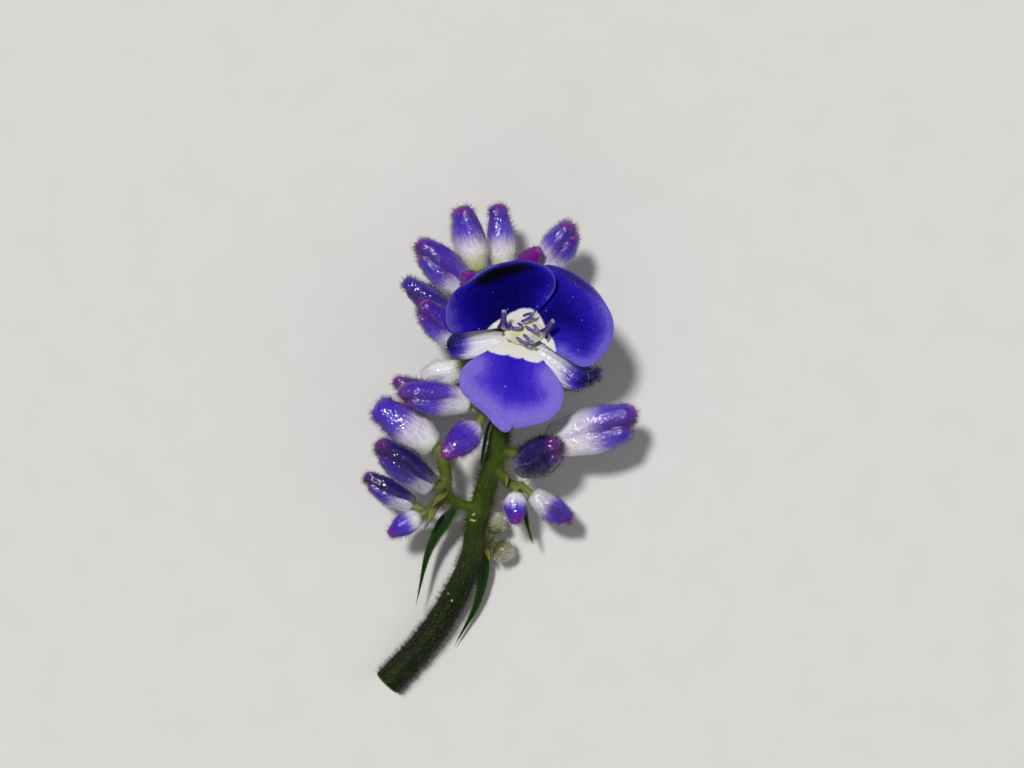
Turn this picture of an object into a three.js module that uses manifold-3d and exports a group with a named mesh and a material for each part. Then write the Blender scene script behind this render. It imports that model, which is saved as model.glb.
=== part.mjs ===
import * as THREE from "three";
import { mergeVertices } from "three/addons/utils/BufferGeometryUtils.js";
import Module from "manifold-3d";

// A cut flowering stem of Dichorisandra tejucensis, laid on its back.
// Lengths are millimetres. +Y runs from the cut end to the top of the head, +Z points up out of
// the open flower, and z = 0 is the surface that the stem and two of its back buds rest on.

// Driving dimensions
const GAP = 0.15; // kept between a piece and what it grows from
const BLADE = 0.6; // thickness of petals, sepals and bracts
const SMALL_BUD = 4; // buds narrower than this get fewer faces
const FLOWER = { x: 3.1, y: 19.2, petalLevel: 24 }; // middle of the open flower

// Main stem from the cut end to the top of the head: x, y, z and radius.
const STEM = [
  [-19.7, -40.4, 2.2, 2.45],
  [-16.5, -37.0, 2.4, 2.35],
  [-12.4, -32.2, 3.1, 2.25],
  [-8.0, -25.2, 4.6, 2.1],
  [-4.9, -17.8, 6.5, 1.85],
  [-4.2, -12.8, 7.8, 1.78],
  [-2.8, -7.4, 9.2, 1.75],
  [-0.7, -0.4, 10.8, 1.7],
  [0.3, 7.1, 12.0, 1.6],
  [0.6, 15.6, 12.6, 1.5],
  [0.3, 22.3, 13.0, 1.4],
  [-0.6, 28.6, 13.6, 1.2],
];

// Side branches that carry the buds, each from inside the stem outwards: x, y, z and radius.
const BRANCHES = [
  [[-3.3, -9.6, 8.9, 0.9], [-6.4, -9.0, 9.6, 0.8], [-8.9, -7.2, 10.6, 0.9],
    [-9.2, -3.9, 11.8, 1.05], [-9.7, -1.0, 12.2, 1.1]],
  [[-8.9, -7.4, 11.0, 0.85], [-11.0, -9.0, 12.0, 0.85], [-11.9, -10.2, 12.4, 0.75]],
  [[-1.0, -1.4, 10.5, 0.9], [0.6, -4.4, 11.3, 0.85], [2.0, -5.6, 12.0, 0.8],
    [3.9, -5.7, 12.2, 0.8]],
  [[-0.4, 0.2, 11.0, 0.9], [3.0, -0.2, 12.0, 0.9], [6.4, 1.4, 12.9, 1.0]],
  [[-4.4, -16.2, 6.9, 0.85], [-2.4, -15.5, 6.0, 0.75]],
  [[0.1, 26.0, 13.4, 1.0], [3.0, 28.6, 14.0, 0.9], [5.8, 29.8, 14.3, 0.9]],
  [[0.2, 22.0, 13.0, 1.0], [-2.5, 24.2, 14.2, 0.95], [-3.9, 25.8, 15.4, 0.9]],
  [[0.5, 15.2, 12.6, 1.0], [-3.0, 16.2, 13.6, 0.95], [-5.4, 17.0, 14.5, 0.9]],
  [[0.3, 7.5, 12.0, 1.0], [-1.6, 7.4, 14.0, 0.95], [-2.8, 7.0, 15.6, 0.9]],
  [[0.2, 8.6, 12.0, 0.9], [-4.5, 8.4, 10.2, 0.85], [-7.8, 8.5, 8.7, 0.8]],
  [[0.5, 11.6, 12.3, 1.0], [4.5, 11.2, 11.8, 0.9], [8.0, 11.1, 11.2, 0.85]],
  [[0.5, 19.6, 12.6, 1.0], [0.6, 20.2, 8.6, 0.95]],
  [[0.5, 14.2, 12.4, 0.95], [0.8, 14.0, 9.0, 0.9], [-2.2, 13.8, 8.6, 0.8]],
  [[0.4, 23.4, 12.8, 0.95], [3.4, 24.0, 12.2, 0.85]],
];

// Stalk of the open flower, which widens into the disc that its leaves stand on.
const FLOWER_STALK = [
  [0.5, 16.9, 13.0, 1.0],
  [1.8, 18.2, 16.4, 0.95],
  [3.4, 19.4, 19.2, 1.2],
  [3.7, 19.5, 20.5, 2.2],
];

// Buds: base, tip, width, turn of the longest sepal in degrees clockwise from straight up as seen
// from above, and how far the sepals spread at the tip.
const BUDS = {
  bud_top_left: { base: [-4.0, 31.2, 15.2], tip: [-6.3, 41.3, 17.8], width: 5.6, turn: -25 },
  bud_top: { base: [0.5, 31.2, 13.4], tip: [-0.5, 41.8, 15.0], width: 4.9, turn: 15 },
  bud_upper_left: { base: [-5.2, 27.2, 16.5], tip: [-14.1, 34.8, 19.0], width: 6.7, turn: 62 },
  bud_small_round: { base: [-4.0, 26.4, 18.4], tip: [-5.6, 29.9, 23.6], width: 3.2, turn: 0 },
  bud_upper_right: { base: [7.0, 30.6, 14.5], tip: [12.5, 38.1, 18.0], width: 6.4, turn: -50 },
  bud_small_right: { base: [3.0, 30.4, 16.6], tip: [6.9, 33.2, 21.0], width: 3.4, turn: 0 },
  bud_left: { base: [-6.7, 18.4, 15.2], tip: [-13.7, 24.7, 19.0], width: 5.9, turn: 62 },
  bud_left_back: { base: [-7.6, 22.8, 9.8], tip: [-16.5, 29.0, 12.0], width: 5.0, turn: 20 },
  bud_left_white: { base: [-6.6, 14.1, 12.8], tip: [-12.9, 12.3, 9.6], width: 5.2, turn: 40 },
  bud_left_low_back: { base: [-9.2, 8.7, 7.8], tip: [-18.4, 11.9, 9.0], width: 4.4, turn: 30 },
  bud_left_middle: { base: [-4.9, 8.5, 16.5], tip: [-17.1, 9.7, 19.7], width: 6.0, turn: 62 },
  bud_low_large: { base: [-10.8, 0.9, 12.2], tip: [-21.1, 8.0, 13.6], width: 6.2, turn: 10 },
  bud_low_front: { base: [-3.5, 4.7, 17.6], tip: [-9.5, -0.5, 22.4], width: 5.1, turn: 0 },
  bud_low_left: { base: [-11.3, -5.9, 15.0], tip: [-20.9, 1.5, 18.2], width: 6.2, turn: 60 },
  bud_low_side: { base: [-14.6, -9.3, 9.8], tip: [-23.3, -4.3, 10.8], width: 4.7, turn: 62 },
  bud_low_end: { base: [-13.4, -10.5, 13.0], tip: [-18.9, -13.9, 14.0], width: 4.1, turn: 0 },
  bud_right_large: { base: [7.8, 1.8, 13.0], tip: [23.3, 5.5, 16.6], width: 8.2, turn: -60,
    spread: 0.2 },
  bud_right_front: { base: [3.0, -2.5, 15.5], tip: [10.3, 1.3, 21.2], width: 6.6, turn: -55 },
  bud_right_small: { base: [2.5, -6.6, 13.0], tip: [2.6, -12.2, 14.0], width: 3.9, turn: 0 },
  bud_right_low: { base: [5.2, -7.0, 12.0], tip: [12.0, -12.0, 12.0], width: 4.7, turn: -60 },
  bud_node_upper: { base: [-1.4, -14.2, 6.5], tip: [-0.2, -10.4, 7.2], width: 3.0, turn: 0 },
  bud_node_lower: { base: [-0.9, -16.1, 5.2], tip: [2.0, -18.4, 5.0], width: 3.9, turn: 0 },
  bud_right_back: { base: [9.4, 11.3, 11.0], tip: [17.1, 13.7, 11.0], width: 4.4, turn: 30 },
  bud_rest_left: { base: [-2.4, 21.6, 7.6], tip: [-9.4, 25.0, 0.7], width: 5.0, turn: 180 },
  bud_rest_right: { base: [3.4, 20.2, 7.6], tip: [12.4, 19.6, 0.9], width: 5.2, turn: 180 },
  bud_under_front: { base: [1.4, 12.8, 8.4], tip: [4.4, 5.2, 5.4], width: 4.6, turn: 120 },
  bud_under_top: { base: [0.2, 28.4, 10.4], tip: [0.0, 36.6, 8.4], width: 4.4, turn: 150 },
  bud_under_left: { base: [-4.0, 13.8, 8.4], tip: [-10.8, 12.6, 3.9], width: 4.2, turn: 170 },
  bud_under_small: { base: [2.6, 23.4, 9.0], tip: [6.6, 27.4, 6.6], width: 3.4, turn: 140 },
  bud_under_right: { base: [4.8, 24.4, 12.2], tip: [11.4, 25.8, 12.0], width: 5.0, turn: 70 },
};

// Bracts: a line from base to tip, half width at the widest, and turn of the blade about it.
const BRACTS = {
  bract_left: { line: [[-7.6, -10.4, 9.2], [-11.7, -15.8, 8.2], [-14.5, -26.4, 6.5]],
    halfWidth: 1.25, turn: 15 },
  bract_node: { line: [[-1.9, -18.9, 4.9], [-4.1, -26.2, 3.4], [-8.0, -34.0, 1.6]],
    halfWidth: 1.1, turn: -20 },
  bract_right: { line: [[3.9, -8.6, 10.4], [4.7, -12.2, 10.2], [5.5, -15.7, 9.5]],
    halfWidth: 0.8, turn: 50 },
  bract_upper: { line: [[-1.7, 5.2, 13.9], [-2.6, 1.2, 13.4], [-3.3, -2.7, 12.6]],
    halfWidth: 0.7, turn: 55 },
  bract_back: { line: [[2.7, 16.6, 9.8], [5.4, 13.0, 8.4], [7.2, 8.6, 6.6]],
    halfWidth: 1.1, turn: 0 },
  bracteole_low_outer: { line: [[-11.0, -9.6, 13.6], [-11.7, -11.0, 14.2], [-12.8, -12.9, 13.6]],
    halfWidth: 0.8, turn: 40 },
  bracteole_low_inner: { line: [[-9.6, -6.9, 12.4], [-10.6, -8.2, 13.7], [-11.6, -9.6, 15.3]],
    halfWidth: 0.8, turn: 30 },
  bracteole_right: { line: [[0.9, -3.4, 12.7], [1.2, -4.6, 13.6], [0.9, -6.4, 13.8]],
    halfWidth: 0.7, turn: 40 },
  bracteole_node: { line: [[-2.7, -16.9, 5.6], [-1.9, -18.0, 6.6], [-1.6, -19.4, 6.9]],
    halfWidth: 0.6, turn: 30 },
};

// Petals, in millimetres from the middle of the flower: the foot where the blade starts, its
// outline counter-clockwise, and how high the rim stands at the distance called reach.
const PETALS = {
  petal_upper: {
    foot: [[2.0, 2.4], [-1.9, 1.7]],
    outline: [[2.6, 4.9], [5.5, 7.1], [6.0, 9.1], [4.8, 11.1], [1.2, 12.4], [-2.5, 12.0],
      [-5.1, 11.2], [-7.9, 9.3], [-10.6, 7.0], [-11.7, 4.2], [-11.5, 1.6], [-10.5, 0.5]],
    rise: 6, reach: 12.6, steep: 0.65, tuck: 0,
  },
  petal_right: {
    foot: [[3.4, -0.6], [2.6, 1.9]],
    outline: [[5.0, -1.5], [7.6, -3.4], [10.4, -4.9], [12.6, -4.2], [14.2, -2.3], [15.3, 0.4],
      [15.2, 3.0], [13.5, 6.4], [11.1, 9.0], [8.2, 10.9], [4.3, 11.8], [2.6, 10.2], [1.5, 6.2]],
    rise: 4.8, reach: 15.5, steep: 0.5, tuck: 1,
  },
  petal_lower: {
    foot: [[-2.0, -0.7], [3.0, -1.3]],
    outline: [[-5.0, -2.2], [-8.6, -4.4], [-9.7, -6.2], [-9.4, -8.8], [-7.6, -10.9],
      [-5.4, -12.8], [-3.8, -14.6], [-2.3, -15.6], [-0.9, -15.1], [1.8, -14.6], [5.0, -13.6],
      [6.9, -11.5], [7.4, -9.0], [6.3, -7.0], [4.3, -5.1]],
    rise: 2.2, reach: 15.5, steep: 0.4, tuck: 0,
  },
};

// Sepals of the open flower: direction in degrees, length, half width, level and cupping.
const SEPALS = {
  sepal_left: { angle: 188, length: 11.8, halfWidth: 2.35, level: 22.0, cup: 1.3 },
  sepal_right: { angle: -34, length: 13.5, halfWidth: 2.2, level: 22.0, cup: 1.3 },
  sepal_top: { angle: 62, length: 11.0, halfWidth: 2.2, level: 21.2, cup: 0.6 },
};

// Anthers, from the middle of the flower: each is two pollen sacs joined at the apex.
const ANTHERS = {
  anther_left: { apex: [-2.4, 4.2, 30.2], legs: [[-3.3, 1.5, 26.0], [-1.75, 1.5, 26.2]],
    bow: 0.25, radius: 0.42 },
  anther_right: { apex: [5.6, 2.6, 29.6], legs: [[3.65, 0.97, 26.2], [4.5, -0.2, 25.8]],
    bow: 0.25, radius: 0.42 },
  anther_top: { apex: [2.57, 4.2, 27.3], legs: [[0.61, 2.57, 26.9], [1.02, 3.4, 26.7]],
    bow: -0.2, radius: 0.27 },
  anther_middle_left: { apex: [0.4, 1.35, 27.2], legs: [[-1.43, 1.8, 26.9], [0.0, 2.2, 26.9]],
    bow: 0.3, radius: 0.25 },
  anther_middle_right: { apex: [3.0, 0.95, 27.2], legs: [[1.1, 1.6, 27.1], [2.6, 1.9, 27.0]],
    bow: 0.1, radius: 0.25 },
  anther_lower: { apex: [1.75, -1.18, 26.9], legs: [[-0.28, -0.12, 26.9], [0.86, 0.13, 27.2]],
    bow: 0.1, radius: 0.27 },
};

// Ovary with the foot of every filament: a low dome on a short column between the petals' feet.
const DOME = { x: 0.95, y: 0.85, level: 24.45, height: 1.6, halfLength: 3.7, halfWidth: 2.4 };
const COLUMN = { x: 0.6, y: 0.3, bottom: 20.75, radius: 1.1 };

const FILAMENT = { footRadius: 0.5, headRadius: 0.35 };

// Middle of the flower: petals lie level inside this radius, and sepals start at this distance.
const LEVEL_RADIUS = 4.5;
const SEPAL_FOOT = 1.7;

// Bracts: how far the edges stand above the midrib, as a share of the half width.
const BRACT_FOLD = 0.3;
const LONG_BRACT = 6; // bracts longer than this are split into more lengths

// Stalks of the buds, as shares of the bud's width and of their own neck; the sunk and sagged
// distances are millimetres.
const PEDICEL = { neck: 0.14, thin: 0.85, sunk: 0.5, sag: 0.3 };

// Faces round and along the stalks.
const SIDES = { stem: 12, flowerStalk: 10, branch: 7, thin: 6, dome: 14 };
const UPPER_STEM_FROM = 8; // first point of STEM that a bud's stalk may grow from
const SAMPLES = 24; // points tried along a branch when the nearest one is looked for

const COLOURS = {
  stem: 0x4c6a1e,
  bract: 0x2c6a1c,
  bracteole: 0x93a24a,
  bud: 0x5a4bc4,
  petal: 0x3b24c8,
  sepal: 0xb9b4dc,
  ovary: 0xe9e5cf,
  anther: 0x2b2384,
};

const wasm = await Module();
wasm.setup();

const degrees = THREE.MathUtils.degToRad;
const smoothstep = (x, from, to) => THREE.MathUtils.smoothstep(x, from, to);
const toVector = (numbers) => new THREE.Vector3(numbers[0], numbers[1], numbers[2]);

// Height of a quarter circle, from 0 at x = 0 to 1 at x = 1 and beyond.
function quarter(x) {
  const left = 1 - THREE.MathUtils.clamp(x, 0, 1);
  return Math.sqrt(1 - left * left);
}

// Closed solid from points and triples of their indices.
function solidFrom(points, triangles) {
  return new wasm.Manifold(
    new wasm.Mesh({
      numProp: 3,
      vertProperties: new Float32Array(points.flatMap((p) => [p.x, p.y, p.z])),
      triVerts: new Uint32Array(triangles.flat()),
    }),
  );
}

function solidOfGeometry(geometry) {
  geometry.deleteAttribute("normal");
  geometry.deleteAttribute("uv");
  const merged = mergeVertices(geometry);
  return new wasm.Manifold(
    new wasm.Mesh({
      numProp: 3,
      vertProperties: merged.getAttribute("position").array,
      triVerts: new Uint32Array(merged.index.array),
    }),
  );
}

const joined = (solids) => solids.reduce((all, next) => all.add(next));

function meshOf(name, solid, colour, roughness = 0.5) {
  const { vertProperties, triVerts } = solid.getMesh();
  const geometry = new THREE.BufferGeometry();
  geometry.setAttribute("position", new THREE.BufferAttribute(vertProperties, 3));
  geometry.setIndex(new THREE.BufferAttribute(triVerts, 1));
  geometry.computeVertexNormals();
  const material = new THREE.MeshStandardMaterial({ color: colour, roughness, metalness: 0 });
  const mesh = new THREE.Mesh(geometry, material);
  mesh.name = name;
  return mesh;
}

// Two directions square to a line, the first as near to the wanted one as it can be.
function squareTo(direction, wanted) {
  const first = wanted.clone().addScaledVector(direction, -wanted.dot(direction)).normalize();
  return [first, direction.clone().cross(first)];
}

function ringAround(centre, [first, second], radiusFirst, radiusSecond, sides) {
  return Array.from({ length: sides }, (_, side) => {
    const angle = (2 * Math.PI * side) / sides;
    return centre
      .clone()
      .addScaledVector(first, radiusFirst * Math.cos(angle))
      .addScaledVector(second, radiusSecond * Math.sin(angle));
  });
}

// Skin over rings of equal length, with a fan to a point at each end.
function loft(start, rings, end) {
  const sides = rings[0].length;
  const points = [...rings.flat(), start, end];
  const startIndex = points.length - 2;
  const endIndex = points.length - 1;
  const lastRing = (rings.length - 1) * sides;
  const triangles = [];
  for (let side = 0; side < sides; side += 1) {
    const next = (side + 1) % sides;
    triangles.push([startIndex, next, side]);
    triangles.push([endIndex, lastRing + side, lastRing + next]);
    for (let ring = 0; ring < lastRing; ring += sides) {
      triangles.push([ring + side, ring + next, ring + sides + next]);
      triangles.push([ring + side, ring + sides + next, ring + sides + side]);
    }
  }
  return solidFrom(points, triangles);
}

// Round stalk through points that each give x, y, z and radius.
function stalk(path, sides, stepsPerSpan) {
  const curve = new THREE.CatmullRomCurve3(path.map(toVector));
  const spans = path.length - 1;
  const steps = spans * stepsPerSpan;
  const whole = toVector(path[spans]).sub(toVector(path[0]));
  const wanted = Math.abs(whole.z) > Math.hypot(whole.x, whole.y)
    ? new THREE.Vector3(1, 0, 0)
    : new THREE.Vector3(0, 0, 1);
  const rings = Array.from({ length: steps + 1 }, (_, step) => {
    const along = step / steps;
    const span = Math.min(Math.floor(along * spans), spans - 1);
    const radius = THREE.MathUtils.lerp(path[span][3], path[span + 1][3], along * spans - span);
    const basis = squareTo(curve.getTangent(along), wanted);
    return ringAround(curve.getPoint(along), basis, radius, radius, sides);
  });
  return loft(curve.getPoint(0), rings, curve.getPoint(1));
}

// A bud is three blunt sepals side by side round its axis. These give the girth of a sepal and how
// far its middle stands off the axis, as shares of half the bud's width, at t from base to tip.
const SEPAL_LENGTHS = [1, 0.91, 0.87]; // of each sepal, as a share of the longest
const sepalGirth = (t) =>
  0.62 * (0.5 + 0.5 * quarter(t / 0.3)) * (1 - 0.32 * smoothstep(t, 0.45, 0.9)) *
  quarter((1.02 - t) / 0.12);
const sepalOffset = (t, spread) =>
  0.1 + 0.3 * smoothstep(t, 0, 0.55) - 0.08 * smoothstep(t, 0.8, 1) +
  spread * smoothstep(t, 0.3, 1);

// Outline of the three sepals together, from the axis, at an angle from the first one's middle.
function budOutline(t, angle, spread) {
  const girth = sepalGirth(t);
  const offset = sepalOffset(t, spread);
  const reaches = [0, 120, 240].map((middle) => {
    const turned = degrees(angle - middle);
    const inside = girth ** 2 - (offset * Math.sin(turned)) ** 2;
    return offset * Math.cos(turned) + Math.sqrt(Math.max(inside, 0));
  });
  return Math.max(...reaches);
}

// Length of the bud at an angle from the first sepal's middle, as a share of the longest sepal.
function sepalLengthAt(angle) {
  const sepal = Math.floor(angle / 120);
  const toNext = smoothstep(angle / 120 - sepal, 0.3, 0.7);
  return THREE.MathUtils.lerp(SEPAL_LENGTHS[sepal], SEPAL_LENGTHS[(sepal + 1) % 3], toNext);
}

const BUD_SIDES = 12; // a side for each 30 degrees, so that sepals and furrows both get corners
const BUD_STATIONS = [0, 0.12, 0.3, 0.6, 0.82, 0.94];
const SMALL_BUD_STATIONS = [0, 0.25, 0.82];
const TIP_RADIUS = [0.34, 0.3, 0.2]; // of the last ring: at a sepal's middle, flank and furrow
const TIP_LENGTH = [1, 0.985, 0.9];
const NOTCH = 0.84; // how far along the axis the hollow between the three tips lies

function budSolid({ base, tip, width, turn, spread = 0 }, margin = 0) {
  const from = toVector(base);
  const axis = toVector(tip).sub(from);
  const length = axis.length();
  axis.normalize();
  const [up, right] = squareTo(axis, new THREE.Vector3(0, 0, 1));
  const half = width / 2;
  const place = (angle, along, radius) => from.clone()
    .addScaledVector(axis, along)
    .addScaledVector(up, Math.cos(degrees(turn + angle)) * radius)
    .addScaledVector(right, Math.sin(degrees(turn + angle)) * radius);
  const sideAngles = Array.from({ length: BUD_SIDES }, (_, side) => (360 * side) / BUD_SIDES);
  const lengthAt = (angle) => length * sepalLengthAt(angle);
  const stations = width < SMALL_BUD ? SMALL_BUD_STATIONS : BUD_STATIONS;
  const rings = stations.map((t) => sideAngles.map((angle) => place(
    angle,
    t * lengthAt(angle) - (t === 0 ? margin : 0),
    half * budOutline(t, angle, spread) + margin,
  )));
  rings.push(sideAngles.map((angle, side) => {
    const kind = [0, 1, 2, 1][side % 4];
    const radius = half * (TIP_RADIUS[kind] + spread) + margin;
    return place(angle, TIP_LENGTH[kind] * lengthAt(angle) + margin, radius);
  }));
  const start = place(0, -margin, 0);
  const end = place(0, NOTCH * length + margin, 0);
  return loft(start, rings, end);
}

// Thin blade around a surface given by u, from foot to rim, and v, from one edge to the other.
function blade(surface, uSteps, vSteps) {
  const step = 0.01; // of u and v, for the slope of the surface
  const pointAt = (u, v, side) => {
    const alongU = surface(Math.min(u + step, 1), v).sub(surface(Math.max(u - step, 0), v));
    const alongV = surface(u, Math.min(v + step, 1)).sub(surface(u, Math.max(v - step, 0)));
    const normal = alongU.cross(alongV).normalize();
    return surface(u, v).addScaledVector(normal, (side * BLADE) / 2);
  };
  const row = vSteps + 1;
  const layer = (uSteps + 1) * row;
  const points = [1, -1].flatMap((side) =>
    Array.from({ length: layer }, (_, index) =>
      pointAt(Math.floor(index / row) / uSteps, (index % row) / vSteps, side)));
  const triangles = [];
  for (let i = 0; i < uSteps; i += 1) {
    for (let j = 0; j < vSteps; j += 1) {
      const a = i * row + j;
      const b = a + row;
      triangles.push([a, b, b + 1], [a, b + 1, a + 1]);
      triangles.push([layer + a, layer + b + 1, layer + b]);
      triangles.push([layer + a, layer + a + 1, layer + b + 1]);
    }
  }
  const wall = (from, to) => {
    triangles.push([to, layer + from, from], [to, layer + to, layer + from]);
  };
  for (let i = 0; i < uSteps; i += 1) {
    wall((i + 1) * row, i * row);
    wall(i * row + vSteps, (i + 1) * row + vSteps);
  }
  for (let j = 0; j < vSteps; j += 1) {
    wall(j, j + 1);
    wall(uSteps * row + j + 1, uSteps * row + j);
  }
  return solidFrom(points, triangles);
}

function bractSolid({ line, halfWidth, turn }) {
  const curve = new THREE.CatmullRomCurve3(line.map(toVector));
  return blade((u, v) => {
    const direction = curve.getTangent(u);
    const [up, left] = squareTo(direction, new THREE.Vector3(0, 0, 1));
    left.applyAxisAngle(direction, degrees(turn));
    up.applyAxisAngle(direction, degrees(turn));
    const across = 2 * v - 1;
    const width = halfWidth * (0.55 + 0.45 * smoothstep(u, 0, 0.25)) *
      (1 - 0.88 * smoothstep(u, 0.1, 1.05));
    return curve.getPoint(u)
      .addScaledVector(left, -across * width)
      .addScaledVector(up, BRACT_FOLD * Math.abs(across) * width);
  }, curve.getLength() > LONG_BRACT ? 8 : 4, 2);
}

function petalSolid({ foot, outline, rise, reach, steep, tuck }) {
  const rim = new THREE.CatmullRomCurve3(outline.map(([x, y]) => new THREE.Vector3(x, y, 0)));
  const [start, end] = foot.map(([x, y]) => new THREE.Vector3(x, y, 0));
  return blade((u, v) => {
    const place = start.clone().lerp(end, v).lerp(rim.getPoint(v), u);
    const out = Math.max(0, (Math.hypot(place.x, place.y) - LEVEL_RADIUS) / (reach - LEVEL_RADIUS));
    const angle = THREE.MathUtils.radToDeg(Math.atan2(place.y, place.x));
    const lift = rise * ((1 - steep) * out + steep * out ** 3);
    const under = tuck * smoothstep(angle, 28, 50);
    return new THREE.Vector3(FLOWER.x, FLOWER.y, FLOWER.petalLevel + lift - under).add(place);
  }, 6, 14);
}

function sepalSolid({ angle, length, halfWidth, level, cup }) {
  const forward = new THREE.Vector3(Math.cos(degrees(angle)), Math.sin(degrees(angle)), 0);
  const left = new THREE.Vector3(-forward.y, forward.x, 0);
  return blade((u, v) => {
    const across = 2 * v - 1;
    const width = halfWidth * (0.5 + 0.5 * smoothstep(u, 0, 0.4)) *
      (0.2 + 0.8 * quarter((1 - u) / 0.3));
    const fill = smoothstep(u, 0.05, 0.5);
    const height = level + 0.6 * u + cup * fill * across * across + 0.7 * smoothstep(u, 0.75, 1);
    return new THREE.Vector3(FLOWER.x, FLOWER.y, height)
      .addScaledVector(forward, THREE.MathUtils.lerp(SEPAL_FOOT, length, u))
      .addScaledVector(left, across * width);
  }, 6, 4);
}

function antherSolid({ apex, legs, bow, radius }) {
  const move = ([x, y, z], scale) => [FLOWER.x + x, FLOWER.y + y, z, radius * scale];
  return joined(legs.map((leg) => {
    const middle = apex.map((value, axis) => (value + leg[axis]) / 2);
    middle[2] -= bow;
    return stalk([move(apex, 0.8), move(middle, 0.9), move(leg, 1)], SIDES.thin, 1);
  }));
}

// White dome with the short foot of each filament, and the column that carries it.
function ovarySolid() {
  const centre = new THREE.Vector3(FLOWER.x + DOME.x, FLOWER.y + DOME.y, DOME.level);
  const rings = [1, 0.9, 0.65, 0.3].map((share) => {
    const height = DOME.height * Math.sqrt(1 - share * share);
    const middle = centre.clone().add(new THREE.Vector3(0, 0, height));
    const basis = [new THREE.Vector3(1, 0, 0), new THREE.Vector3(0, 1, 0)];
    return ringAround(middle, basis, DOME.halfLength * share, DOME.halfWidth * share, SIDES.dome);
  });
  const top = centre.clone().add(new THREE.Vector3(0, 0, DOME.height));
  const { x, y, bottom, radius } = COLUMN;
  const column = stalk([
    [FLOWER.x + x, FLOWER.y + y, bottom, radius],
    [FLOWER.x + x, FLOWER.y + y, DOME.level + DOME.height / 4, radius],
  ], SIDES.flowerStalk, 1);
  const filaments = Object.values(ANTHERS).map(({ apex, legs, radius: sac }) => {
    const between = legs[0].map((value, axis) => (value + legs[1][axis]) / 2);
    const head = between.map((value, axis) => THREE.MathUtils.lerp(value, apex[axis], 0.25));
    const place = [FLOWER.x + head[0], FLOWER.y + head[1]];
    return stalk([
      [...place, DOME.level + 0.1, FILAMENT.footRadius],
      [...place, head[2] - sac - 2 * GAP, FILAMENT.headRadius],
    ], SIDES.thin, 1);
  });
  return joined([loft(centre, rings, top), column, ...filaments]);
}

// Point on the branches, or on the upper stem, that is nearest to a place.
function nearestOnBranches(place) {
  let best = null;
  [...BRANCHES, STEM.slice(UPPER_STEM_FROM)].forEach((path) => {
    const curve = new THREE.CatmullRomCurve3(path.map(toVector));
    curve.getPoints(SAMPLES).forEach((point) => {
      if (!best || point.distanceTo(place) < best.distanceTo(place)) best = point;
    });
  });
  return best;
}

// Short stalk from the nearest branch into the base of a bud.
function pedicelSolid({ base, tip, width }) {
  const end = toVector(base);
  const inward = toVector(tip).sub(end).normalize();
  const start = nearestOnBranches(end);
  const neck = PEDICEL.neck * width;
  const thin = PEDICEL.thin * neck;
  const middle = start.clone().lerp(end, 0.5).addScaledVector(inward, -PEDICEL.sag);
  end.addScaledVector(inward, PEDICEL.sunk);
  return stalk([[...start, thin], [...middle, thin], [...end, neck]], SIDES.thin, 1);
}

// Everything above the surface: what dips below z = 0 gets a small flat spot to rest on.
const ROOM_SIZE = 200;
const room = solidOfGeometry(
  new THREE.BoxGeometry(ROOM_SIZE, ROOM_SIZE, ROOM_SIZE).translate(0, 0, ROOM_SIZE / 2),
);

const budSpecs = Object.values(BUDS);
const stemParts = [
  stalk(STEM, SIDES.stem, 2),
  stalk(FLOWER_STALK, SIDES.flowerStalk, 2),
  ...BRANCHES.map((path) => stalk(path, SIDES.branch, path.length > 3 ? 1 : 2)),
  ...budSpecs.map(pedicelSolid),
];
const grownBuds = joined(budSpecs.map((spec) => budSolid(spec, GAP)));
const stemSolid = joined(stemParts).subtract(grownBuds).intersect(room);

const root = new THREE.Group();
root.add(meshOf("stem", stemSolid, COLOURS.stem, 0.6));
Object.entries(BUDS).forEach(([name, spec]) => {
  root.add(meshOf(name, budSolid(spec).intersect(room), COLOURS.bud, 0.35));
});
Object.entries(BRACTS).forEach(([name, spec]) => {
  const colour = name.startsWith("bracteole") ? COLOURS.bracteole : COLOURS.bract;
  root.add(meshOf(name, bractSolid(spec), colour));
});
Object.entries(SEPALS).forEach(([name, spec]) => {
  root.add(meshOf(name, sepalSolid(spec), COLOURS.sepal));
});
Object.entries(PETALS).forEach(([name, spec]) => {
  root.add(meshOf(name, petalSolid(spec), COLOURS.petal, 0.6));
});
root.add(meshOf("ovary", ovarySolid(), COLOURS.ovary));
Object.entries(ANTHERS).forEach(([name, spec]) => {
  root.add(meshOf(name, antherSolid(spec), COLOURS.anther, 0.3));
});

export default root;
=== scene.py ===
import math

import bpy
import numpy as np
from mathutils.kdtree import KDTree
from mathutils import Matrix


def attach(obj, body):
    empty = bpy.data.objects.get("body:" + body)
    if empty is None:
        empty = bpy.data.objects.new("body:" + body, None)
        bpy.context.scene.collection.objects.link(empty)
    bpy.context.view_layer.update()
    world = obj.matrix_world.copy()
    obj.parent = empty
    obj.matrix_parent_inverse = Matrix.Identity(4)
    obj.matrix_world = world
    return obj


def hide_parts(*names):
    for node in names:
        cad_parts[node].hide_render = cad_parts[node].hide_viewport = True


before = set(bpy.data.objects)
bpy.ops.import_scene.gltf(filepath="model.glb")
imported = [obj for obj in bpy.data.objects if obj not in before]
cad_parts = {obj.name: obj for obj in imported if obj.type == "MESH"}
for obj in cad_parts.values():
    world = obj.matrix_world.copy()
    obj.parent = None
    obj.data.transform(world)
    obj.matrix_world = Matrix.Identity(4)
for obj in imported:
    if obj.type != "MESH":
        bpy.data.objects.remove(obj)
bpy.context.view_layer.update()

# A cut flowering stem of Dichorisandra tejucensis, laid on its back. Lengths here are millimetres
# in the part's own frame, the same ones that the solids are made from; meshes are in metres.
MM = 0.001
UP = np.array([0.0, 0.0, 1.0])

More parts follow.
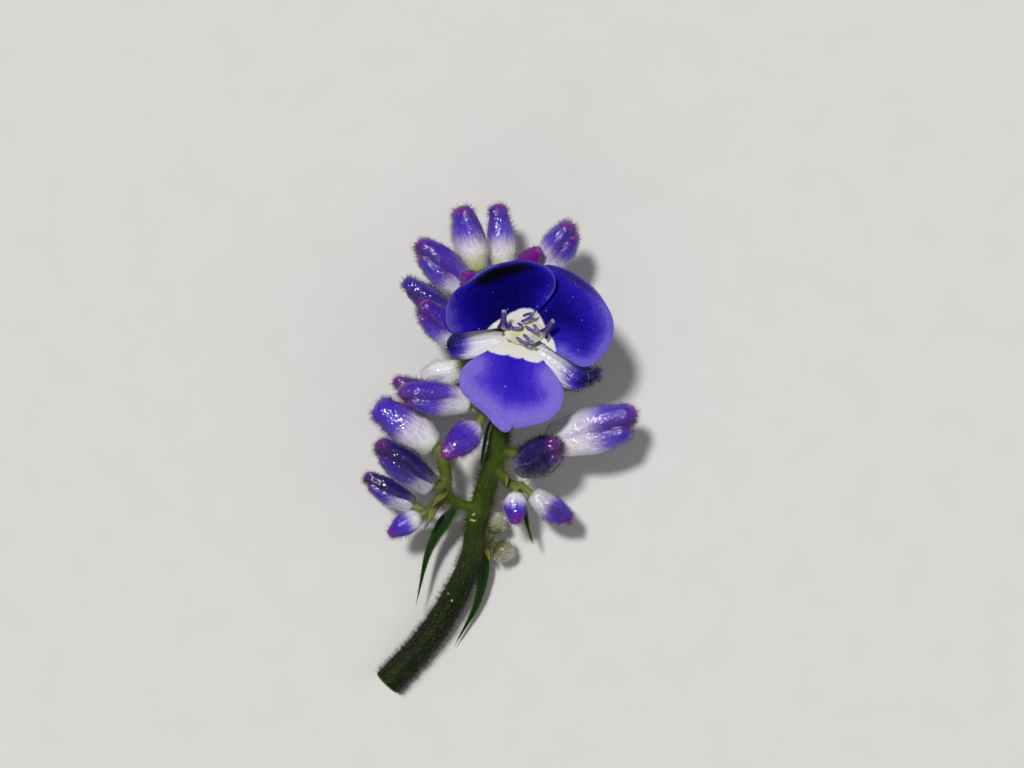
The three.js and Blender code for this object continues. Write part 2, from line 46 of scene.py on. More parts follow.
# Driving dimensions
PETAL_THICKNESS = 0.3
SEPAL_THICKNESS = 0.4
BRACT_THICKNESS = 0.3
HAIR_RADIUS = 0.027
HAIR_LENGTH = (0.55, 1.25)
HAIR_SUNK = 0.06  # how far a hair's foot is below the surface
HAIR_SCATTER = 0.24  # how far hairs stray from their direction, as a share of their length
HAIR_CLEARANCE = 0.05  # least height of a hair's tip above the floor
BUD_HAIRS, STEM_HAIRS = 17.0, 13.0  # on a square millimetre
SEPAL_HAIRS = 500  # on each sepal of the open flower
BRACT_HAIRS = 14  # on a millimetre of a bract's length
FLOWER = np.array([3.1, 19.2, 24.0])  # middle of the open flower, where its petals lie level
FLOWER_GROUND = FLOWER * [1, 1, 0]

# Main stem from the cut end to the top of the head: x, y, z and radius.
STEM = [
    (-19.7, -40.4, 2.2, 2.45), (-16.5, -37.0, 2.4, 2.35), (-12.4, -32.2, 3.1, 2.25),
    (-8.0, -25.2, 4.6, 2.1), (-4.9, -17.8, 6.5, 1.85), (-4.2, -12.8, 7.8, 1.78),
    (-2.8, -7.4, 9.2, 1.75), (-0.7, -0.4, 10.8, 1.7), (0.3, 7.1, 12.0, 1.6),
    (0.6, 15.6, 12.6, 1.5), (0.3, 22.3, 13.0, 1.4), (-0.6, 28.6, 13.6, 1.2),
]
UPPER_STEM_FROM = 8  # first point of STEM that a bud's stalk may grow from
DARK_STEM = (-28.0, -6.0)  # y between which the stem passes from painted shade to full green

# Side branches that carry the buds, each from inside the stem outwards: x, y, z and radius.
BRANCHES = [
    [(-3.3, -9.6, 8.9, 0.9), (-6.4, -9.0, 9.6, 0.8), (-8.9, -7.2, 10.6, 0.9),
     (-9.2, -3.9, 11.8, 1.05), (-9.7, -1.0, 12.2, 1.1)],
    [(-8.9, -7.4, 11.0, 0.85), (-11.0, -9.0, 12.0, 0.85), (-11.9, -10.2, 12.4, 0.75)],
    [(-1.0, -1.4, 10.5, 0.9), (0.6, -4.4, 11.3, 0.85), (2.0, -5.6, 12.0, 0.8),
     (3.9, -5.7, 12.2, 0.8)],
    [(-0.4, 0.2, 11.0, 0.9), (3.0, -0.2, 12.0, 0.9), (6.4, 1.4, 12.9, 1.0)],
    [(-4.4, -16.2, 6.9, 0.85), (-2.4, -15.5, 6.0, 0.75)],
    [(0.1, 26.0, 13.4, 1.0), (3.0, 28.6, 14.0, 0.9), (5.8, 29.8, 14.3, 0.9)],
    [(0.2, 22.0, 13.0, 1.0), (-2.5, 24.2, 14.2, 0.95), (-3.9, 25.8, 15.4, 0.9)],
    [(0.5, 15.2, 12.6, 1.0), (-3.0, 16.2, 13.6, 0.95), (-5.4, 17.0, 14.5, 0.9)],
    [(0.3, 7.5, 12.0, 1.0), (-1.6, 7.4, 14.0, 0.95), (-2.8, 7.0, 15.6, 0.9)],
    [(0.2, 8.6, 12.0, 0.9), (-4.5, 8.4, 10.2, 0.85), (-7.8, 8.5, 8.7, 0.8)],
    [(0.5, 11.6, 12.3, 1.0), (4.5, 11.2, 11.8, 0.9), (8.0, 11.1, 11.2, 0.85)],
    [(0.5, 19.6, 12.6, 1.0), (0.6, 20.2, 8.6, 0.95)],
    [(0.5, 14.2, 12.4, 0.95), (0.8, 14.0, 9.0, 0.9), (-2.2, 13.8, 8.6, 0.8)],
    [(0.4, 23.4, 12.8, 0.95), (3.4, 24.0, 12.2, 0.85)],
]
FLOWER_STALK = [(0.5, 16.9, 13.0, 1.0), (1.8, 18.2, 16.4, 0.95), (3.4, 19.4, 19.2, 1.2),
                (3.7, 19.5, 20.5, 2.2)]

# Buds: base, tip, width and turn of the longest sepal in degrees, clockwise from straight up for
# someone who looks from base to tip. With cover the longest sepal is broad and lies over the other
# two, with spread all three part towards their tips, and core is the radius of what is between
# them, as a share of the half width. White and magenta are where the one ends and the other starts,
# as shares of the length, and shade is painted shade over the colours: one number, or one for each
# sepal from the longest on. Green is how green the base is. A red bud is magenta all over and a
# young one pale green. Rounded is the share of a sepal's length over which its tip closes.
WHITE, MAGENTA = (0.28, 0.3, 0.3), 0.86
BUDS = {
    "bud_top_left": dict(
        base=(-3.7, 30.2, 14.9), tip=(-6.3, 41.3, 17.8), width=5.6, turn=-25,
        white=(0.48, 0.46, 0.46), green=0.7, cover=0.9),
    "bud_top": dict(
        base=(0.6, 30.2, 13.3), tip=(-0.5, 41.8, 15.0), width=4.9, turn=15,
        white=(0.44, 0.45, 0.44), green=0.6, cover=0.8),
    "bud_upper_left": dict(
        base=(-5.2, 27.2, 16.5), tip=(-14.1, 34.8, 19.0), width=6.7, turn=62,
        white=(0.12, 0.2, 0.36), shade=0.1),
    "bud_small_round": dict(
        base=(-4.0, 26.4, 18.4), tip=(-5.5, 30.1, 23.6), width=4.1, turn=0, colour="red", cover=1,
        rounded=0.26),
    "bud_upper_right": dict(
        base=(7.0, 30.6, 14.5), tip=(12.5, 38.1, 18.0), width=6.4, turn=-50, white=0.4,
        magenta=(0.84, 0.8, 0.84)),
    "bud_small_right": dict(
        base=(3.0, 30.4, 16.6), tip=(6.8, 34.0, 21.0), width=3.7, turn=0, colour="red", cover=1,
        rounded=0.26),
    "bud_left": dict(
        base=(-6.7, 18.4, 15.2), tip=(-13.7, 24.7, 19.0), width=5.9, turn=62,
        white=(0.16, 0.2, 0.4)),
    "bud_left_back": dict(
        base=(-7.6, 22.8, 9.8), tip=(-16.5, 29.0, 12.0), width=5.0, turn=20, white=0.1,
        magenta=1.1, shade=0.45),
    "bud_left_white": dict(
        base=(-6.6, 14.1, 12.8), tip=(-12.9, 12.3, 9.6), width=5.2, turn=40,
        white=(0.95, 0.75, 0.8), magenta=(1.1, 0.6, 0.6)),
    "bud_left_low_back": dict(
        base=(-9.2, 8.7, 7.8), tip=(-18.4, 11.9, 9.0), width=4.4, turn=30, magenta=0.7, shade=0.3),
    "bud_left_middle": dict(
        base=(-4.9, 8.5, 16.5), tip=(-17.1, 9.7, 19.7), width=6.0, turn=62,
        white=(0.22, 0.3, 0.42)),
    "bud_low_large": dict(
        base=(-10.8, 0.9, 12.2), tip=(-21.1, 8.0, 13.6), width=7.0, turn=10,
        white=(0.46, 0.42, 0.44), magenta=1.1, cover=0.85),
    "bud_low_front": dict(
        base=(-3.5, 4.7, 17.6), tip=(-9.5, -0.5, 22.4), width=5.1, turn=0, white=(0.16, 0.24, 0.2),
        magenta=0.7, cover=1, rounded=0.36),
    "bud_low_left": dict(
        base=(-11.3, -5.9, 15.0), tip=(-20.9, 1.5, 18.2), width=6.2, turn=60,
        white=(0.08, 0.2, 0.3), magenta=(0.82, 0.9, 0.9), shade=(0.85, 0.5, 0.5)),
    "bud_low_side": dict(
        base=(-14.6, -9.3, 9.8), tip=(-23.3, -4.3, 10.8), width=4.7, turn=62,
        white=(0.08, 0.2, 0.4), magenta=(0.78, 0.85, 0.88), shade=(0.8, 0.35, 0.35)),
    "bud_low_end": dict(
        base=(-13.4, -10.5, 13.0), tip=(-18.9, -13.9, 14.0), width=4.1, turn=0, white=0.3,
        magenta=0.76, cover=0.8, rounded=0.4),
    "bud_right_large": dict(
        base=(7.8, 1.8, 13.0), tip=(23.3, 5.5, 16.6), width=8.2, turn=-60, spread=0.12, core=0.66,
        white=(0.5, 0.56, 0.5), magenta=(0.93, 0.97, 0.9)),
    "bud_right_front": dict(
        base=(3.0, -2.5, 15.5), tip=(10.3, 1.3, 21.2), width=6.6, turn=-55,
        white=(0.14, 0.22, 0.2), magenta=(0.7, 0.84, 0.8), shade=(0.85, 1.0, 0.9)),
    "bud_right_small": dict(
        base=(2.5, -6.6, 13.0), tip=(2.6, -12.2, 14.0), width=3.9, turn=0, white=0.34,
        magenta=0.66, cover=1, rounded=0.26),
    "bud_right_low": dict(
        base=(5.2, -7.0, 12.0), tip=(12.0, -12.0, 12.0), width=4.7, turn=-60,
        white=(0.36, 0.44, 0.36), shade=0.25),
    "bud_node_upper": dict(
        base=(-1.4, -14.2, 6.5), tip=(-0.2, -10.4, 7.2), width=3.4, turn=0, colour="young",
        cover=1, rounded=0.5),
    "bud_node_lower": dict(
        base=(-0.9, -16.1, 5.2), tip=(2.0, -18.4, 5.0), width=4.0, turn=0, colour="young", cover=1,
        rounded=0.5),
    "bud_right_back": dict(
        base=(9.4, 11.3, 11.0), tip=(17.1, 13.7, 11.0), width=4.4, turn=30, magenta=1.1,
        shade=0.75),
    "bud_rest_left": dict(base=(-2.4, 21.6, 7.6), tip=(-9.4, 25.0, 0.7), width=5.0, turn=180),
    "bud_rest_right": dict(base=(3.4, 20.2, 7.6), tip=(12.4, 19.6, 0.9), width=5.2, turn=180),
    "bud_under_front": dict(base=(1.4, 12.8, 8.4), tip=(4.4, 5.2, 5.4), width=4.6, turn=120),
    "bud_under_top": dict(base=(0.2, 28.4, 10.4), tip=(0.0, 36.6, 8.4), width=4.4, turn=150),
    "bud_under_left": dict(base=(-4.0, 13.8, 8.4), tip=(-10.8, 12.6, 3.9), width=4.2, turn=170),
    "bud_under_small": dict(base=(2.6, 23.4, 9.0), tip=(6.6, 27.4, 6.6), width=3.4, turn=140),
    "bud_under_right": dict(base=(4.8, 24.4, 12.2), tip=(11.4, 25.8, 12.0), width=5.0, turn=70),
}

# Bracts: a line from base to tip, half width at the widest, and turn of the blade about it.
BRACTS = {
    "bract_left": dict(
        line=[(-7.3, -9.2, 9.3), (-11.7, -15.8, 8.2), (-14.5, -26.4, 6.5)], half=1.25, turn=15),
    "bract_node": dict(
        line=[(-2.3, -16.4, 5.6), (-4.1, -26.2, 3.4), (-8.0, -34.0, 1.6)], half=1.1, turn=-20),
    "bract_right": dict(
        line=[(3.4, -6.2, 11.8), (4.7, -12.2, 10.2), (5.5, -15.7, 9.5)], half=0.8, turn=50),
    "bract_upper": dict(
        line=[(-1.1, 6.2, 13.2), (-2.6, 1.2, 13.4), (-3.3, -2.7, 12.6)], half=0.7, turn=55),
    "bract_back": dict(
        line=[(1.6, 17.4, 11.4), (5.4, 13.0, 8.4), (7.2, 8.6, 6.6)], half=1.1, turn=0),
    "bracteole_low_outer": dict(
        line=[(-10.8, -9.2, 13.0), (-11.7, -11.0, 14.2), (-12.8, -12.9, 13.6)], half=0.8, turn=40),
    "bracteole_low_inner": dict(
        line=[(-9.2, -6.9, 11.8), (-10.6, -8.2, 13.7), (-11.6, -9.6, 15.3)], half=0.8, turn=30),
    "bracteole_right": dict(
        line=[(0.8, -3.9, 12.2), (1.2, -4.6, 13.6), (0.9, -6.4, 13.8)], half=0.7, turn=40),
    "bracteole_node": dict(
        line=[(-2.6, -16.3, 5.8), (-1.9, -18.0, 6.6), (-1.6, -19.4, 6.9)], half=0.6, turn=30),
}
BRACT_ROWS, BRACT_COLUMNS = 56, 17
BRACT_FOLD = 0.3  # how far the edges stand above the midrib, as a share of the half width

# Petals, from the middle of the flower: the foot where the blade starts and its outline
# counter-clockwise. The blade is level as far as the level radius. Beyond that it climbs by rise up
# to the distance called reach, the later the more steep is. Tuck is how far its far side goes below
# its neighbour. The rim curls back by curl along the stretch called bent. Bent, shadow and rim go
# by shares of the outline: shadow is how far the painted shadow inside the lip reaches in, lip
# how wide the lip is and rim how light the painted highlight on the lip is. The dark blues of
# the upper and right petals are painted shade, given by a value that is 1 for them and 0 for
# the light one.
# Fade is how light the margin is at distances from the rim and pale how light at some angles. White
# is the edge of the white middle, as angles in degrees and distances. Notch is a small cut in the
# rim.
LEVEL_RADIUS = 4.5
PETALS = {
    "petal_upper": dict(
        foot=[(2.0, 2.4), (-1.9, 1.7)],
        outline=[(2.6, 4.9), (5.5, 7.1), (6.0, 9.1), (4.8, 11.1), (1.2, 12.4), (-2.5, 12.0),
                 (-5.1, 11.2), (-7.9, 9.3), (-10.6, 7.0), (-11.7, 4.2), (-11.5, 1.6), (-10.5, 0.5)],
        rise=6, reach=12.6, steep=0.65, tuck=0, curl=1.2, bent=(0.22, 0.66), deep=1.0, lip=0.6,
        shadow=[(0.27, 0), (0.33, 1.5), (0.39, 2.3), (0.45, 2.5), (0.53, 3.1), (0.6, 2.6),
                (0.65, 1.2), (0.68, 0)],
        rim=[(0.3, 0.5), (0.39, 0.25), (0.47, 0.3), (0.54, 0.9), (0.62, 0.8), (0.7, 0.2)],
        fade=[(0, 1.1), (2.3, 0.6), (4.7, 0.26), (7.5, 0)],
        pale=[(50, 0.72), (80, 0.45), (105, 0.28), (135, 0.5), (160, 1.0)],
        white=[(65, 5.1), (85, 4.7), (97, 4.3), (119, 4.0), (142, 4.35), (172, 5.5)],
    ),
    "petal_right": dict(
        foot=[(3.4, -0.6), (2.6, 1.9)],
        outline=[(5.0, -1.5), (7.6, -3.4), (10.4, -4.9), (12.6, -4.2), (14.2, -2.3), (15.3, 0.4),
                 (15.2, 3.0), (13.5, 6.4), (11.1, 9.0), (8.2, 10.9), (4.3, 11.8), (2.6, 10.2),
                 (1.5, 6.2)],
        rise=4.8, reach=15.5, steep=0.5, tuck=1, curl=0.9, bent=(0.5, 0.84), deep=1.0, lip=0.2,
        shadow=[(0.52, 0), (0.58, 0.9), (0.68, 1.6), (0.76, 1.5), (0.82, 0.8), (0.86, 0)],
        rim=[(0, 0.2), (1, 0.2)],
        fade=[(0, 1.15), (1.5, 0.85), (3, 0.62), (4.6, 0.42), (6, 0.22), (7.5, 0.05), (9, 0)],
        pale=[(-25, 1.0), (10, 1.0), (30, 0.9), (50, 0.8), (80, 0.65)],
        white=[(-20, 6.5), (7, 5.0), (25, 4.65), (55, 5.05)],
    ),
    "petal_lower": dict(
        foot=[(-2.0, -0.7), (2.2, -1.5)],
        outline=[(-5.0, -2.2), (-8.6, -4.4), (-9.7, -6.2), (-9.4, -8.8), (-7.6, -10.9),
                 (-5.4, -12.8), (-3.8, -14.6), (-2.3, -15.6), (-0.9, -15.1), (1.8, -14.6),
                 (5.0, -13.6), (6.9, -11.5), (7.4, -9.0), (6.4, -6.8), (4.2, -4.6)],
        rise=2.2, reach=15.5, steep=0.4, tuck=0, curl=0.3, bent=(0.1, 0.9), deep=0.0, lip=0.2,
        shadow=[(0, 0), (1, 0)], rim=[(0, 0.2), (1, 0.2)],
        fade=[(0, 1), (1, 0.92), (2, 0.74), (3, 0.5), (4.3, 0.3), (5.4, 0.18), (6.8, 0.05), (8, 0)],
        pale=[(200, 0.8), (225, 1.0), (290, 1.0), (330, 0.8)],
        white=[(204, 5.5), (214, 4.75), (239, 3.35), (281, 3.5), (306, 5.2), (320, 5.6)],
        notch=(-1.1, -15.0),
    ),
}
RIM_SHARES = (0.06, 0.94)  # part of the outline that has a light margin
NOTCH_DEPTH, NOTCH_WIDTH = 0.9, 0.24

# Sepals of the open flower: direction in degrees, length, half width, level, cupping and the side
# that a petal shades, with painted shadow, 1 to the left of the direction and -1 to its right,
# with the shares of the half width between which the painted shadow comes in.
SEPAL_FOOT = 1.7
SEPALS = {
    "sepal_left": dict(
        angle=188, length=11.8, half=2.35, level=22.0, cup=1.3, shaded=-1, grey=(0, 0.95)),
    "sepal_right": dict(
        angle=-35, length=13.5, half=2.5, level=22.0, cup=1.3, shaded=1, grey=(-0.1, 0.7)),
    "sepal_top": dict(
        angle=62, length=11.0, half=2.2, level=21.2, cup=0.6, shaded=1, grey=(0, 0.95)),
}

# Anthers, from the middle of the flower; heights are the part's own. The two upright ones have an
# apex and two legs, the flat ones two or three pollen sacs and the place where these join.
UPRIGHT_ANTHERS = {
    "anther_left": dict(apex=(-2.4, 4.2, 30.2), legs=[(-3.3, 1.5, 26.0), (-1.75, 1.5, 26.2)]),
    "anther_right": dict(apex=(5.6, 2.6, 29.6), legs=[(3.65, 0.97, 26.2), (4.5, -0.2, 25.8)]),
}
FLAT_ANTHERS = {
    "anther_top": dict(
        sacs=[[(0.56, 2.55), (0.96, 2.65), (1.57, 2.99), (2.19, 3.5), (2.6, 4.1)],
              [(0.83, 3.42), (1.3, 3.64), (1.9, 3.76), (2.3, 3.85)]],
        join=(2.3, 3.85), levels=(26.8, 27.3)),
    "anther_middle_left": dict(
        sacs=[[(-1.45, 1.73), (-1.0, 1.5), (-0.39, 1.33), (0.15, 1.39), (0.45, 1.63)],
              [(-0.02, 2.14), (0.32, 1.97), (0.47, 1.7), (0.35, 1.48)],
              [(-1.3, 1.98), (-1.24, 1.75), (-1.12, 1.55)]],
        join=(0.3, 1.5), levels=(26.9, 27.2)),
    "anther_middle_right": dict(
        sacs=[[(1.17, 1.67), (1.71, 1.33), (2.32, 1.0), (2.95, 0.72)],
              [(2.52, 1.83), (2.86, 1.43), (3.05, 1.0)]],
        join=(2.85, 0.95), levels=(27.0, 27.2)),
    "anther_lower": dict(
        sacs=[[(-0.26, -0.2), (0.22, -0.54), (0.83, -0.91), (1.64, -1.27)],
              [(0.86, 0.27), (1.27, 0.0), (1.57, -0.47), (1.86, -0.88)],
              [(1.5, -1.0), (1.9, -0.86), (2.25, -0.76)]],
        join=(1.85, -0.9), levels=(26.9, 27.2)),
}
FLAT_RADIUS = 0.24
DOME = dict(x=0.95, y=0.85, level=24.45, height=1.6, half_length=3.7, half_width=2.4)
COLUMN = dict(x=0.6, y=0.3, bottom=20.75, radius=1.1)
FILAMENT_RADIUS = (0.45, 0.3)  # at the foot and at the anther

# Small marks: salmon and yellow ones on the dome, a brownish patch where the lowest buds leave the
# stem, and cream flecks on the stem
STAINS = [(-2.6, 0.65, 24.9), (0.29, -1.02, 25.4), (3.0, 0.5, 25.75)]
YELLOW = [(-0.8, 0.35, 25.9), (-0.2, 0.7, 26.0), (0.4, 1.0, 26.05), (0.9, 1.1, 26.05)]
NODE_TUFT, TUFT_REACH = (-2.8, -16.2, 6.4), 1.8
SCARS = [(-4.7, -10.8, 9.8), (-4.4, -10.6, 9.95), (-5.0, -11.6, 9.5), (-4.7, -11.7, 9.7),
         (-4.4, -11.75, 9.8), (-9.0, -24.4, 6.4), (-8.3, -25.6, 6.6),
         (-6.0, -24.4, 6.2)]
SCAR_REACH = 0.24


# Shape helpers. Points are rows of millimetres.

def smoothstep(x, low, high):
    """Rises smoothly from 0 at low to 1 at high."""
    t = np.clip((x - low) / (high - low), 0, 1)
    return t * t * (3 - 2 * t)


def bell(x, middle, width):
    return np.exp(-(((x - middle) / width) ** 2))


def quarter(x):
    """Height of a quarter circle, from 0 at x = 0 to 1 at x = 1 and beyond."""
    left = 1 - np.clip(x, 0, 1)
    return np.sqrt(1 - left * left)


def unit(vectors):
    return vectors / np.maximum(np.linalg.norm(vectors, axis=-1, keepdims=True), 1e-12)


def grid(by_row, by_column):
    """Two arrays over every pair of the given values."""
    return np.meshgrid(by_row, by_column, indexing="ij")


def round_angles(count, start=0.0):
    return np.linspace(start, start + 2 * math.pi, count, endpoint=False)


def square_to(direction, wanted):
    """Two directions square to each given one, the first as near the wanted as it can be."""
    first = unit(wanted - direction * np.sum(wanted * direction, -1, keepdims=True))
    return first, np.cross(direction, first)


def curve_points(points, along):
    """Points of a centripetal Catmull-Rom curve; along runs from 0 to 1 in equal spans."""
    points = np.asarray(points, float)
    held = np.vstack([2 * points[0] - points[1], points, 2 * points[-1] - points[-2]])
    spans = len(points) - 1
    place = np.clip(np.atleast_1d(along), 0, 1) * spans
    span = np.minimum(place.astype(int), spans - 1)
    w = (place - span)[:, None]
    p0, p1, p2, p3 = (held[span + k] for k in range(4))
    d0, d1, d2 = (
        np.sqrt(np.linalg.norm(b - a, axis=1))[:, None] for a, b in ((p0, p1), (p1, p2), (p2, p3))
    )
    start = ((p1 - p0) / d0 - (p2 - p0) / (d0 + d1) + (p2 - p1) / d1) * d1
    end = ((p2 - p1) / d1 - (p3 - p1) / (d1 + d2) + (p3 - p2) / d2) * d1
    cubic = 2 * (p1 - p2) + start + end
    return p1 + start * w + (p2 - p1 - start - cubic) * w**2 + cubic * w**3


def curve_directions(points, along):
    step = 0.005
    return unit(curve_points(points, along + step) - curve_points(points, along - step))


def grid_faces(rows, columns, wrapped=False):
    """Quads over points laid row by row; wrapped joins each row's last point to its first."""
    row, column = grid(np.arange(rows - 1), np.arange(columns if wrapped else columns - 1))
    a = row * columns + column
    b = row * columns + (column + 1) % columns
    return np.stack([a, b, b + columns, a + columns], -1).reshape(-1, 4)


class Shell:
    """Points, faces and named values of one piece, gathered part by part."""

    def __init__(self):
        self.points = []
        self.faces = []
        self.values = {}
        self.count = 0

    def add(self, points, faces, **values):
        """Add a part. Each value is one number, or a number or a vector for each point."""
        points = np.asarray(points, float).reshape(-1, 3)
        self.faces.extend(row for block in faces for row in (block + self.count).tolist())
        self.points.append(points)
        for name, value in values.items():
            value = np.asarray(value, float)
            spread = np.broadcast_to(value, (len(points), *value.shape[1:]))
            self.values.setdefault(name, []).append(spread)
        self.count += len(points)

    def mesh(self, name, scale=MM):
        mesh = bpy.data.meshes.new(name)
        mesh.from_pydata((np.vstack(self.points) * scale).tolist(), [], self.faces)
        for key, parts in self.values.items():
            value = np.concatenate(parts).astype(np.float32)
            kind, field = ("FLOAT_VECTOR", "vector") if value.ndim == 2 else ("FLOAT", "value")
            mesh.attributes.new(key, kind, "POINT").data.foreach_set(field, value.ravel())
        mesh.polygons.foreach_set("use_smooth", [True] * len(mesh.polygons))
        mesh.update()
        return mesh


def tube_faces(rings, sides):
    """Faces of a closed tube: its rings row by row, then the point at its start and at its end."""
    start, end = rings * sides, rings * sides + 1
    side = np.arange(sides)
    after = (side + 1) % sides
    last = (rings - 1) * sides
    start_fan = np.stack([np.full(sides, start), after, side], -1)
    end_fan = np.stack([np.full(sides, end), last + side, last + after], -1)
    return [grid_faces(rings, sides, wrapped=True), start_fan, end_fan]


def stalk_frames(path, along):
    """Centres, directions and two cross directions of a stalk at shares of its length."""
    path = np.array(path, float)
    whole = path[-1, :3] - path[0, :3]
    wanted = np.array([1.0, 0, 0]) if abs(whole[2]) > np.hypot(whole[0], whole[1]) else UP
    directions = curve_directions(path[:, :3], along)
    return (curve_points(path[:, :3], along), directions, *square_to(directions, wanted))


def stalk(path, sides, steps):
    """Closed round tube through points that each give x, y, z and radius."""
    path = np.array(path, float)
    along = np.linspace(0, 1, steps)
    centres, _, first, second = stalk_frames(path, along)
    radius = np.interp(along * (len(path) - 1), np.arange(len(path)), path[:, 3])[:, None, None]
    turn = round_angles(sides)[None, :, None]
    rings = centres[:, None] + radius * (
        first[:, None] * np.cos(turn) + second[:, None] * np.sin(turn)
    )
    return np.vstack([rings.reshape(-1, 3), centres[:1], centres[-1:]]), tube_faces(steps, sides)


def link(name, data):
    made = bpy.data.objects.new(name, data)
    bpy.context.scene.collection.objects.link(made)
    return made


def read_all(items, field, width, kind=np.float32):
    """One field of all items of a mesh, in rows of the given width."""
    values = np.empty(len(items) * width, kind)
    items.foreach_get(field, values)
    return values.reshape(-1, width)


def blend_parts(parts, voxel, rounds=4):
    """One smooth skin over closed parts that run into each other: points, faces and normals."""
    shell = Shell()
    for points, faces in parts:
        shell.add(points, faces)
    holder = link("holder", shell.mesh("holder", scale=1))
    remesh = holder.modifiers.new("remesh", "REMESH")
    remesh.mode = "VOXEL"
    remesh.voxel_size = voxel
    smooth = holder.modifiers.new("smooth", "SMOOTH")
    smooth.iterations = rounds
    skin = bpy.data.meshes.new_from_object(
        holder.evaluated_get(bpy.context.evaluated_depsgraph_get())
    )
    points = read_all(skin.vertices, "co", 3).astype(float)
    normals = read_all(skin.vertex_normals, "vector", 3)
    corners = read_all(skin.loops, "vertex_index", 1, np.int32)
    bpy.data.objects.remove(holder)
    return points, corners.reshape(-1, 4), normals


def evened(faces, values, rounds):
    """Values on the points of a skin, in each round moved to the mean of their neighbours."""
    here, there = faces.ravel(), np.roll(faces, -1, axis=1).ravel()
    neighbours = np.bincount(here)
    for _ in range(rounds):
        values = np.bincount(here, values[there]) / neighbours
    return values


def nearness(points, places, reach):
    """How near each point is to the nearest of some places, 1 on it and fading over the reach."""
    gaps = [np.linalg.norm(points - np.array(place), axis=1) for place in places]
    return bell(np.min(gaps, axis=0), 0, reach)


def tree_of(points):
    tree = KDTree(len(points))
    for index, point in enumerate(points):
        tree.insert(point, index)
    tree.balance()
    return tree


def blade(place, thickness):
    """Closed thin blade round a grid of points: its own points and faces, upper side first."""
    rows, columns = place.shape[:2]
    normal = unit(np.cross(np.gradient(place, axis=0), np.gradient(place, axis=1)))
    offset = normal * np.asarray(thickness)[..., None] / 2
    points = np.vstack([(place + offset).reshape(-1, 3), (place - offset).reshape(-1, 3)])
    layer = rows * columns
    upper = grid_faces(rows, columns)[:, ::-1]
    lower = upper[:, ::-1] + layer
    i, j = np.arange(rows - 1), np.arange(columns - 1)
    last_row = (rows - 1) * columns
    starts = np.concatenate([(i + 1) * columns, i * columns + columns - 1, j, last_row + j + 1])
    ends = np.concatenate([i * columns, (i + 1) * columns + columns - 1, j + 1, last_row + j])
    wall = np.stack([ends, layer + ends, layer + starts, starts], -1)
    return points, [upper, lower, wall]


def blade_shell(place, thickness, grain, **values):
    """Shell of a blade with values given over its grid; grain is across, along and a seed."""
    grain = np.stack(np.broadcast_arrays(*grain), -1).reshape(-1, 3)
    both_sides = {name: np.tile(value.ravel(), 2) for name, value in values.items()}
    shell = Shell()
    shell.add(*blade(place, thickness), grain=np.vstack([grain, grain]), **both_sides)
    return shell


# Pieces

def add_piece(name, shell, look, replaced=()):
    mesh = shell.mesh(name)
    mesh.materials.append(LOOKS[look])
    piece = link(name, mesh)
    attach(piece, "root")
    if replaced:
        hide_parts(*replaced)
    return mesh


def add_skin(name, points, faces, look, node, **values):
    """A piece of one skin that stands for a node; its slot has the same name as its look."""
    shell = Shell()
    shell.add(points, [faces], **values)
    return add_piece(name, shell, look, [node])


def add_hairs(name, roots, normals, lean, rng, tone, shade=0, grown=1, look="hair"):
    """Thin three-sided cones on a surface, all above the floor; grown scales their length."""
    count = len(roots)
    out = unit(normals + lean + rng.normal(0, HAIR_SCATTER, (count, 3)))
    tips = roots + out * (grown * rng.uniform(*HAIR_LENGTH, count))[:, None]
    kept = tips[:, 2] > HAIR_CLEARANCE
    tone, shade = np.broadcast_to(tone, count), np.broadcast_to(shade, count)
    roots, tips, out, tone, shade = (x[kept] for x in (roots, tips, out, tone, shade))
    count = len(roots)
    first, second = square_to(out, rng.normal(0, 1, (count, 3)))
    turn = (np.arange(3) * 2 * math.pi / 3)[None, :, None]
    ring = first[:, None] * np.cos(turn) + second[:, None] * np.sin(turn)
    feet = (roots - out * HAIR_SUNK)[:, None] + ring * HAIR_RADIUS
    fans = np.array([[0, 1, 3], [1, 2, 3], [2, 0, 3]])[None] + np.arange(count)[:, None, None] * 4
    shell = Shell()
    shell.add(np.concatenate([feet, tips[:, None]], axis=1), [fans.reshape(-1, 3)],
              tipward=np.tile([0.0, 0, 0, 1], count), tone=np.repeat(tone, 4),
              shade=np.repeat(shade, 4))
    add_piece(name, shell, look)


# Buds: three blunt sepals side by side round an axis, with the closed petals between them as a
# core. A place on a sepal goes by t, from 0 at its base to 1 at its tip, and a turn round it.
SEPAL_LENGTHS = (1.0, 0.91, 0.87)  # of each sepal, as a share of the longest
CORE_RADIUS, CORE_LENGTH = 0.5, 0.9  # as shares of the bud's half width and length
CORE_TONE = 0.62
BUD_RINGS, BUD_SIDES = 34, 28
CORE_RINGS, CORE_SIDES = 18, 16
MARGIN = (0.5, 1.5)  # turn over which a sepal's middle passes into its margin
SEAM_REACH = 0.3  # gap of two sepals within which their crease has painted shade and no hairs grow
BARE_MIDDLE = 0.82  # how many fewer hairs a sepal's middle has than its margin
RED_HAIRS, YOUNG_HAIR_TONE = 0.45, 0.26


def sepal_girth(t, rounded):
    grown = 0.69 * (0.64 + 0.36 * quarter(t / 0.3)) * (1 - 0.3 * smoothstep(t, 0.45, 0.92))
    waist = 1 - 0.04 * bell(t, 0.82, 0.07)
    return grown * waist * quarter((1 - t) / rounded) * quarter(2 * t / rounded)


def sepal_offset(t, spread):
    return (0.06 + 0.27 * smoothstep(t, 0.05, 0.6) - 0.1 * smoothstep(t, 0.7, 1)
            + spread * smoothstep(t, 0.35, 1))


